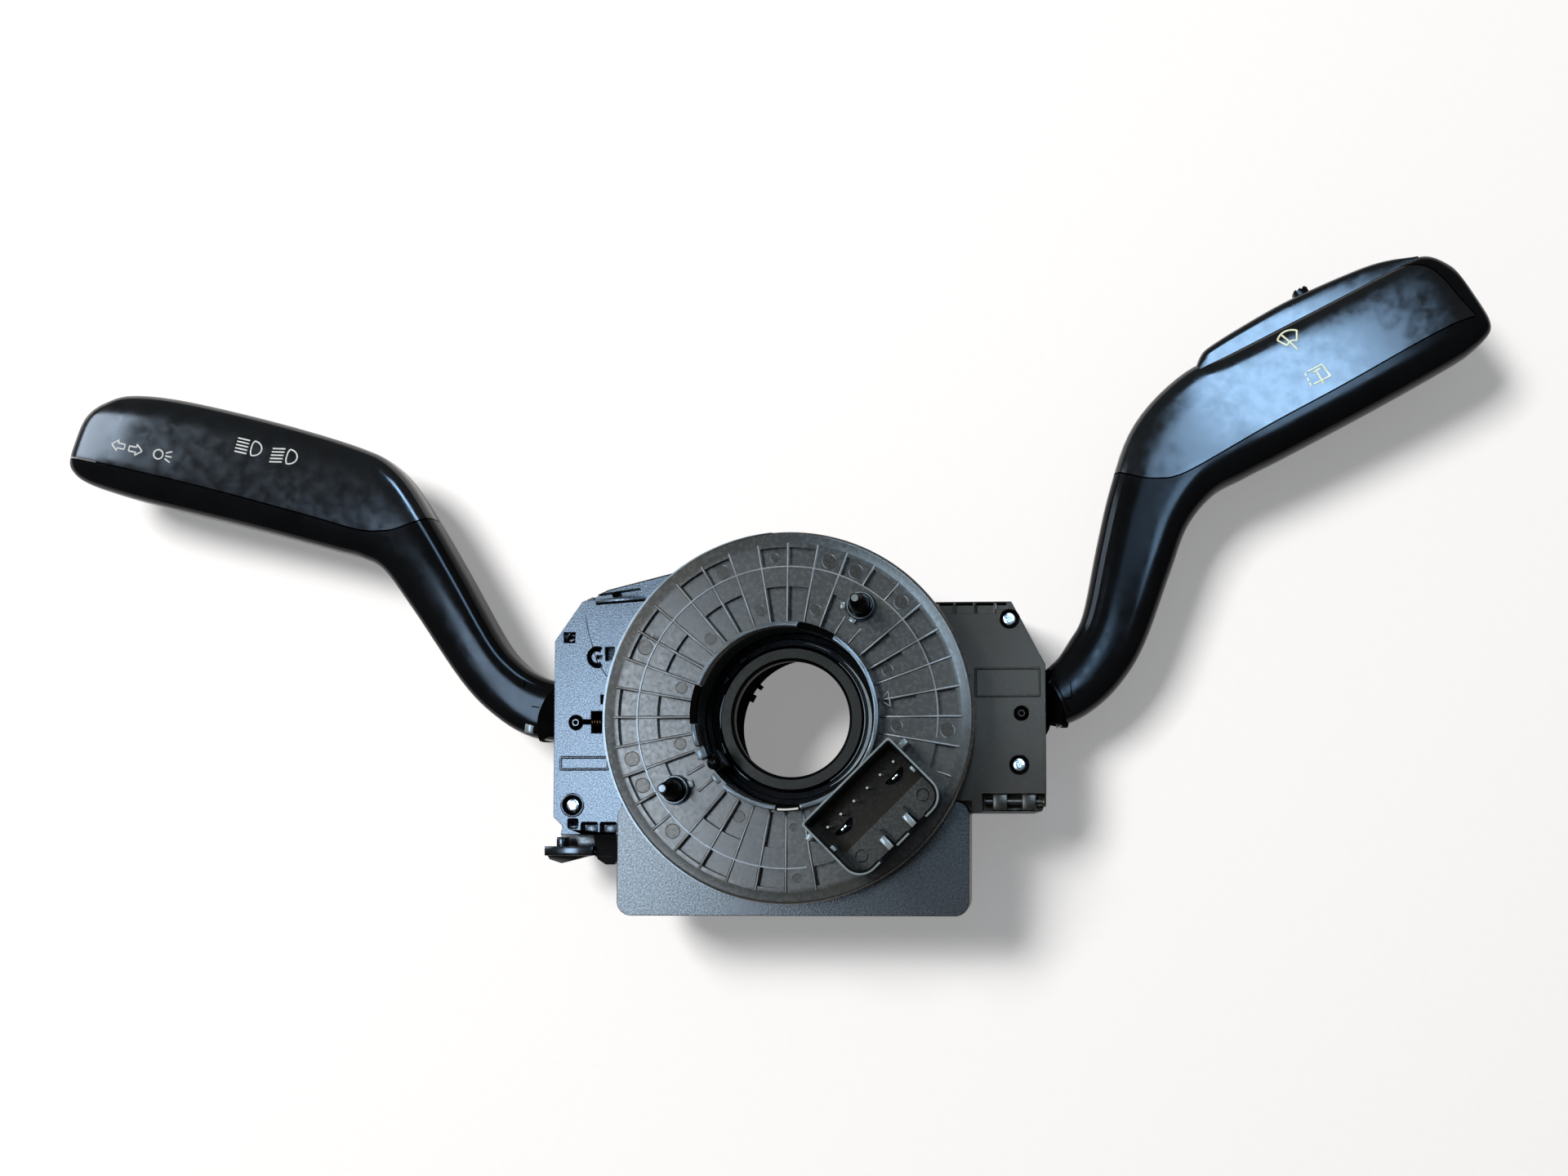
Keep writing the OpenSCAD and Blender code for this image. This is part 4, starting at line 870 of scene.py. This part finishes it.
# Hinge of the harness clip: two broad collars on an axle with a ball end
hinge = bmesh.new()
axle = lathe([(0, 58.2), (1.35, 58.2), (1.35, 75.2), (1.2, 75.6), (1.2, 75.7), (1.6, 76.0), (1.7, 76.5),
              (1.5, 77.0),
              (0, 77.05)], 40)
addParts(hinge, alongX(axle, -24.9, 26.4))
for size, centre in [((4.4, 5.4, 6), (62.9, -24.9, 25.8)), ((4.2, 5.4, 6), (71.8, -24.9, 25.8)),
                     ((4.4, 0.5, 5.6), (67.4, -22.4, 25.6)), ((4.4, 0.5, 5.6), (67.4, -27.3, 25.6))]:
    addBlock(hinge, size, centre, 0, 0.25)
finishPiece("hinge_collars", hinge, rotorDarkAndShade, "base", stands=["hinge_axle"], sharp=30)
print("latch and hinge made")


# Pad-printed signs: bent wires sunk in the handle cover until only a flat line shows
def printedSign(name, strokes, at, turn, width, material, body, cover):
    tree = BVHTree.FromObject(bpy.data.objects[cover], bpy.context.evaluated_depsgraph_get())
    sign = bpy.data.curves.new(name, "CURVE")
    sign.dimensions, sign.bevel_depth, sign.bevel_resolution = "3D", width * 0.62 * mm, 2
    sign.use_fill_caps = True
    for stroke in strokes:
        run = []
        for (ax, ay), (bx, by) in zip(stroke, stroke[1:]):
            parts = max(1, round(hypot(bx - ax, by - ay) / 0.5))
            run += [(ax + (bx - ax) * k / parts, ay + (by - ay) * k / parts) for k in range(parts)]
        run.append(stroke[-1])
        spline = sign.splines.new("POLY")
        spline.points.add(len(run) - 1)
        for point, (x, y) in zip(spline.points, run):
            c, n = cos(radians(turn)), sin(radians(turn))
            spot = Vector((at[0] + x * c - y * n, at[1] + x * n + y * c, 60)) * mm
            hit = tree.ray_cast(spot, Vector((0, 0, -1)))[0]
            point.co = (spot.x, spot.y, hit.z - width * 0.2 * mm, 1)
    item = bpy.data.objects.new(name, sign)
    addToScene(item)
    solid = bmesh.new()
    solid.from_mesh(item.evaluated_get(bpy.context.evaluated_depsgraph_get()).to_mesh())
    bpy.data.objects.remove(item)
    bmesh.ops.scale(solid, vec=[1 / mm] * 3, verts=solid.verts)
    bmesh.ops.remove_doubles(solid, verts=solid.verts, dist=0.001)
    finishPiece(name, solid, material, body, sharp=60)


def ring(x, y, radius, start=0, end=360, steps=20):
    return [(x + radius * cos(radians(a)), y + radius * sin(radians(a))) for a in evenly(start, end, steps)]


arrow = [(-2.2, 0), (-0.2, 1.8), (-0.2, 0.8), (2.1, 0.8), (2.1, -0.8), (-0.2, -0.8), (-0.2, -1.8),
         (-2.2, 0)]
lampGlass = [(1.2 * x, y) for x, y in [(0.4, 2.4)] + ring(0.4, 0, 2.4, 90, -90, 12)[1:-1] +
             [(0.4, -2.4), (0, -1.2), (0, 1.2), (0.4, 2.4)]]
beams, lowBeams = ([[(-5.0, y - drop), (-1.1, y)] for y in (2.2, 1.1, 0, -1.1, -2.2)] for drop in (0, 0.8))
rays = [[(0.9, 0.9), (2.8, 1.8)], [(0.9, 0), (3.0, 0)], [(0.9, -0.9), (2.8, -1.8)]]
signs = [
    ("sign_turn_left", [arrow], (-218.9, 89.2)),
    ("sign_turn_right", [[(-x, y) for x, y in arrow]], (-213.4, 87.8)),
    ("sign_parking_lamp", [ring(-1.4, 0, 1.5)] + rays, (-204.6, 86)),
    ("sign_high_beam", [lampGlass] + beams, (-176.1, 88.3)),
    ("sign_low_beam", [lampGlass] + lowBeams, (-164.7, 85.6)),
]
for name, strokes, at in signs:
    printedSign(name, strokes, at, -13, 0.46, inkWhite, "left_lever", "left_handle_stalk_cover")
fan = [[(0.82 * x, 1.12 * y) for x, y in stroke] for stroke in (
    ring(0, -3.4, 6.6, 128, 52, 12), ring(0, -3.4, 3.2, 128, 52, 8), [(-4.06, 1.8), (-1.97, -0.88)],
    [(4.06, 1.8), (1.97, -0.88)], [(0.6, -3.2), (-1.6, 2.6)])]
rear = [
    [(-3.2, -2.2), (-3.2, -1.1)], [(-3.2, -0.5), (-3.2, 0.6)], [(-3.2, 1.2), (-3.2, 2.2)],
    [(-2.3, 2.2), (2.6, 2.2)], [(2.6, 2.2), (3.3, -2.2)], [(3.3, -2.2), (-2.3, -2.2)],
    [(0.3, -3.4), (0.3, 1.2)], [(-1.0, 1.2), (1.6, 1.2)]]
printedSign("sign_wiper", fan, (152.9, 117.7), 27, 0.58, inkCream, "right_lever",
            "right_handle_stalk_cover")
printedSign("sign_rear_wiper", rear, (160.9, 106.7), 27, 0.6, inkCream, "right_lever",
            "right_handle_stalk_cover")
print("signs printed")


# Six-lobed screws, sunk below the covers
screw = dict(
    profile=[(0, 15), (1.45, 15), (1.45, 28.7), (1.95, 28.7), (2.0, 28.8), (2.0, 29.45), (1.85, 29.75),
        (1.5, 29.9), (0, 29.9)],
    at=[(-69.9, -25.9), (65.8, 31.4), (68.8, -13.6)], lobes=6, reach=(0.85, 0.55), floor=29.6)
screwMesh = bmesh.new()
for n, (x, y) in enumerate(screw["at"]):
    star = []
    for k in range(4 * screw["lobes"]):
        a = tau * k / (4 * screw["lobes"]) + n
        r = screw["reach"][0] if k % 4 < 2 else screw["reach"][1]
        star.append((x + r * cos(a), y + r * sin(a)))
    addParts(screwMesh, carve(lathe(screw["profile"], 48, (x, y, 0)), prism(star, screw["floor"], 32),
                              "DIFFERENCE"))
finishPiece("cover_screws_lobed", screwMesh, zincSteel, "base", ["cover_screws"], sharp=30)
# Black cones over the rims of the screw recesses: painted shade
wellShades = bmesh.new()
for x, y in screw["at"]:
    addParts(wellShades, lathe([(2.05, 28.9), (2.95, 28.9), (2.95, 30.33), (2.72, 30.36), (2.1, 29.3)], 48,
                          (x, y, 0)))
finishPiece("screw_wells", wellShades, mattBlackAndShade, "base", sharp=30)

# Contact spring in the left window: a short coil of drawn wire
coil = dict(wire=0.26, radius=1.05, turns=3.4, pitch=0.8, steps=30, at=(-64.2, -0.1, 28.6))
coilMesh = bmesh.new()
bmesh.ops.create_circle(coilMesh, cap_ends=True, segments=12, radius=coil["wire"],
                        matrix=Matrix.Translation((0, coil["radius"], 0)))
bmesh.ops.spin(coilMesh, geom=coilMesh.verts[:] + coilMesh.edges[:] + coilMesh.faces[:], axis=(1, 0, 0),
               cent=(0, 0, 0),
               angle=tau * coil["turns"], steps=round(coil["steps"] * coil["turns"]),
               dvec=(coil["pitch"] / coil["steps"], 0, 0))
bmesh.ops.recalc_face_normals(coilMesh, faces=coilMesh.faces)
bmesh.ops.translate(coilMesh, vec=coil["at"], verts=coilMesh.verts)
finishPiece("contact_coil", coilMesh, copperWire, "base", ["left_contact_spring"], sharp=40)

# Hollow ends of the two yoke shafts that show in the covers: the left one pale as painted highlight, the
# right one in the darker acetal
pivotEnds = [
    ("left_pivot_end", (-69.1, -0.2), paleHighlight, "left_turn_yoke"),
    ("right_pivot_end", (69.5, 2.2), rotorDarkAndShade, "right_turn_yoke")]
for name, (x, y), material, body in pivotEnds:
    end = lathe([(0.7, 29.6), (0.7, 30.35), (0.8, 30.5), (1.0, 30.5), (1.1, 30.35), (1.1, 29.6)], 48,
                (x, y, 0))
    finishPiece(name, end, material, body, sharp=30)

# Snap hooks and ribs seen down in the slots of the covers
hooks = [
    ((-71.0, 25.7, 28.6), (1.7, 0.8, 1.2), 25), ((-70.6, 27.2, 28.4), (1.2, 0.5, 1.0), 0),
    ((-61.6, 19.6, 28.8), (1.0, 2.4, 1.6), 20), ((-58.6, 19.4, 28.6), (1.6, 0.6, 1.4), 0),
    ((-69.7, -32.6, 28.4), (2.8, 0.7, 1.2), 0), ((-64.1, -33.2, 28.6), (3.9, 2.4, 1.4), 0),
    ((-58.1, -33.2, 28.6), (3.9, 2.4, 1.4), 0)]
hookMesh = bmesh.new()
for centre, size, turn in hooks:
    addBlock(hookMesh, size, centre, turn, 0.15)
finishPiece("snap_hooks", hookMesh, coverPolyamide, "base")

# Raised bar on the left cover and the ribs of the pocket row on the right one; dark lines of painted shade
# lie beside the bar and along the pockets
barMesh, lineMesh, ribRow = bmesh.new(), bmesh.new(), bmesh.new()
addBlock(barMesh, (15.8, 1.3, 0.8), (-55.4, 38.3, 30.4), 4.2, 0.2)
finishPiece("left_cover_bar", barMesh, coverPolyamide, "base")
addBlock(lineMesh, (15.8, 0.6, 0.2), (-55.3, 37.35, 30.34), 4.2)
addBlock(lineMesh, (2.0, 1.7, 0.2), (-57.0, 39.7, 30.34), 30)
for start, end in ((44.2, 48.6), (49.4, 54.7), (55.6, 61.1), (62.0, 65.6)):
    addBlock(lineMesh, (end - start, 0.55, 0.3), ((start + end) / 2, 36.05, 29.05))
    addBlock(ribRow, (0.5, 3.4, 1.1), (start - 0.4, 34.4, 29.45), 0, 0.1)
finishPiece("cover_shade_lines", lineMesh, mattBlackAndShade, "base")
finishPiece("right_cover_ribs", ribRow, rotorCollar, "base")

# Painted shade: a black sheet just inside the bore wall, with two snaps on its lower edge
boreShadeSheet = lathe([(22.84, 0.3), (22.98, 0.3), (22.98, 17.9), (22.84, 17.9)], 96)
addBlock(boreShadeSheet, (1.8, 1.5, 3), (*polar(22.2, 141.5), 2.0), 141.5, 0.15)
addBlock(boreShadeSheet, (1.5, 2.6, 3), (*polar(22.2, 153), 2.0), 153, 0.15)
finishPiece("bore_lining", boreShadeSheet, mattBlackAndShade, "base", sharp=30)

# Pale tab at the left lever's collar, a painted highlight, and dark lines of painted shade at the steps of
# both levers
tabMesh = bmesh.new()
addBlock(tabMesh, (2.8, 4.0, 2.4), (-86.4, -0.9, 22.4), -8, 0.25)
finishPiece("left_lever_tab", tabMesh, paleHighlight, "left_lever")
steps = dict(
    left=[((0.35, 8.4, 0.2), (-88.0, 9.6, 23.98), 0), ((5.0, 0.35, 0.2), (-85.6, 5.5, 23.98), -8)],
    right=[((0.45, 6.4, 0.3), (81.2, 9.8, 23.95), 27), ((2.6, 0.4, 0.3), (83.8, 7.4, 24.0), 8),
        ((0.35, 5.2, 0.3), (84.9, 10.2, 24.0), 8), ((0.45, 3.4, 0.3), (83.4, 5.4, 23.8), 27)])
for hand, lines in steps.items():
    stepShadeMesh = bmesh.new()
    for line in lines:
        addBlock(stepShadeMesh, *line)
    finishPiece(f"{hand}_lever_step", stepShadeMesh, mattBlackAndShade, f"{hand}_lever")
print("small parts made")


# Camera, floor and light
shot = dict(place=(0.07182, -0.03313, 0.430), tilt=(2.5, 2.5, 0.0), lens=30, shift=(-0.12, 0.117))
eye = bpy.data.cameras.new("camera")
eye.lens, eye.sensor_width = shot["lens"], 36
eye.shift_x, eye.shift_y = shot["shift"]
eye.clip_start, eye.clip_end = 0.01, 50
camera = bpy.data.objects.new("camera", eye)
camera.location = shot["place"]
camera.rotation_euler = [radians(a) for a in shot["tilt"]]
addToScene(camera)
bpy.context.scene.camera = camera
bpy.context.scene.view_settings.view_transform = "Standard"


def eitherRay(tree, *kinds):
    ray = addNode(tree, "LightPath")
    links = {k: ray.outputs[kind] for k, kind in enumerate(kinds)}
    return addNode(tree, "Math", {"operation": "MAXIMUM"}, links).outputs["Value"]


# White paper sweep, lifted to white for the camera and in gloss
floorLift = 0.28


def paperFloor():
    material, tree = newMaterial("paperMatt")
    place = addNode(tree, "TexCoord").outputs["Object"]
    fibre = addNode(tree, "TexNoise", {"Scale": 400.0, "Detail": 2.0}, {"Vector": place})
    tone = addNode(tree, "MixRGB", {"Color1": hexColour("#f6f6f6"), "Color2": hexColour("#f2f2f2")},
                   {"Fac": fibre.outputs["Fac"]})
    lift = addNode(tree, "Math", {"operation": "MULTIPLY"},
                   {0: eitherRay(tree, "Is Camera Ray", "Is Glossy Ray")})
    lift.inputs[1].default_value = floorLift
    diffuse = addNode(tree, "BsdfDiffuse", {}, {"Color": tone.outputs["Color"]})
    glow = addNode(tree, "Emission", {}, {"Color": tone.outputs["Color"],
                                          "Strength": lift.outputs["Value"]})
    both = addNode(tree, "AddShader", {}, {0: diffuse.outputs["BSDF"], 1: glow.outputs["Emission"]})
    addNode(tree, "OutputMaterial", {}, {"Surface": both.outputs["Shader"]})
    return material


floorMesh = bmesh.new()
bmesh.ops.create_grid(floorMesh, x_segments=2, y_segments=2, size=4)
mesh = bpy.data.meshes.new("floor")
floorMesh.to_mesh(mesh)
floorMesh.free()
mesh.materials.append(paperFloor())
floor = bpy.data.objects.new("floor", mesh)
floor.location.z = cadBox[0][2] - 0.0002
addToScene(floor)

world = bpy.data.worlds.new("studio")
bpy.context.scene.world = world
world.use_nodes = True
sky = world.node_tree
sky.nodes.clear()
fill = addNode(sky, "Background", {"Color": hexColour("#e8ecf0"), "Strength": 0.13})
white = addNode(sky, "Background", {"Color": (1, 1, 1, 1), "Strength": 1.0})
mixed = addNode(sky, "MixShader", {}, {0: eitherRay(sky, "Is Camera Ray", "Is Transmission Ray"),
                                       1: fill.outputs["Background"], 2: white.outputs["Background"]})
addNode(sky, "OutputWorld", {}, {"Surface": mixed.outputs["Shader"]})

# Windows show only in gloss. Left lies on the left cover, Upper on the right handle, Sky on its
# neck, Glint in its elbow and Tip on the left handle's end. Far is the broad one at the left.
# Rows of name, place, size, power, colour and turn; one without a turn looks at the aim
lamps = [
    ("windowLeft", (-0.455, -0.02, 1.2), (0.24, 0.50), 10.8, "#bcdcff", 0),
    ("windowUpper", (0.218, 0.642, 1.2), (0.235, 1.12), 21.5, "#a9d4ff", 28),
    ("windowFar", (-1.5, 0.65, 1.0), (0.6, 1.0), 18, "#d6e9ff", None),
    ("windowSky", (0.165, 0.36, 1.2), (0.17, 0.36), 0.75, "#a9d4ff", 0),
    ("windowGlint", (0.085, 0.108, 1.2), (0.06, 0.05), 0.4, "#a9d4ff", 0),
    ("windowTip", (-1.05, 0.5, 1.2), (0.12, 0.45), 1.5, "#cfe6ff", 0),
    ("keyUpperLeft", (-1.35, 1.05, 2.3), (1.0, 1.0), 76, "#fffcfa", None),
]
aim = Vector((0, 0.02, 0))
for name, at, size, power, colour, turn in lamps:
    light = bpy.data.lights.new(name, "AREA")
    light.shape, light.size, light.size_y = "RECTANGLE", *size
    light.energy, light.color = power, hexColour(colour)[:3]
    item = bpy.data.objects.new(name, light)
    item.location = at
    item.rotation_euler = (aim - item.location).to_track_quat("-Z", "Y").to_euler()
    if turn is not None:
        item.rotation_euler = (0, 0, radians(turn))
    item.visible_camera = False
    item.visible_glossy = name.startswith("window")
    item.visible_diffuse = not item.visible_glossy
    addToScene(item)
print("stage set")


# Plain CAD nodes take the finish of their kind
finishes = {
    coverPolyamide: "base_carrier left_housing left_cover right_housing right_cover latch_bracket",
    zincSteel:
        "column_clamp_bolt cover_screws rear_screws pin_clips left_cross_pin left_detent_spring "
        "right_cross_pin right_detent_spring",
    footPolyamide: "clock_spring_housing",
    cableFilm: "ribbon_coil",
    acetalNatural: "left_detent_cam right_detent_cam",
    boardLaminate: "left_contact_board right_contact_board main_circuit_board",
    copperWire: "left_contact_spring",
    plugPbt:
        "rear_plug_socket hinge_axle latch_lever cancel_cam_sleeve driver_pins wheel_plug_socket "
        "rotor_lock_pin",
    tinnedBrass: "rear_plug_pins wheel_plug_pins squib_contacts left_detent_plunger right_detent_plunger",
    rotorAcetal: "rotor_disc",
    turnedZinc: "cancel_ring",
    mattBlackAndShade: "left_yoke right_yoke",
    leverAbs: "left_lever_head left_stalk right_lever_head right_stalk interval_rail interval_slider",
    leverLacquer: "left_stalk_cover right_stalk_cover",
}
finishOf = {node: material for material, nodes in finishes.items() for node in nodes.split()}
for node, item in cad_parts.items():
    item.data.materials.clear()
    item.data.materials.append(finishOf[node])

print("finishing")
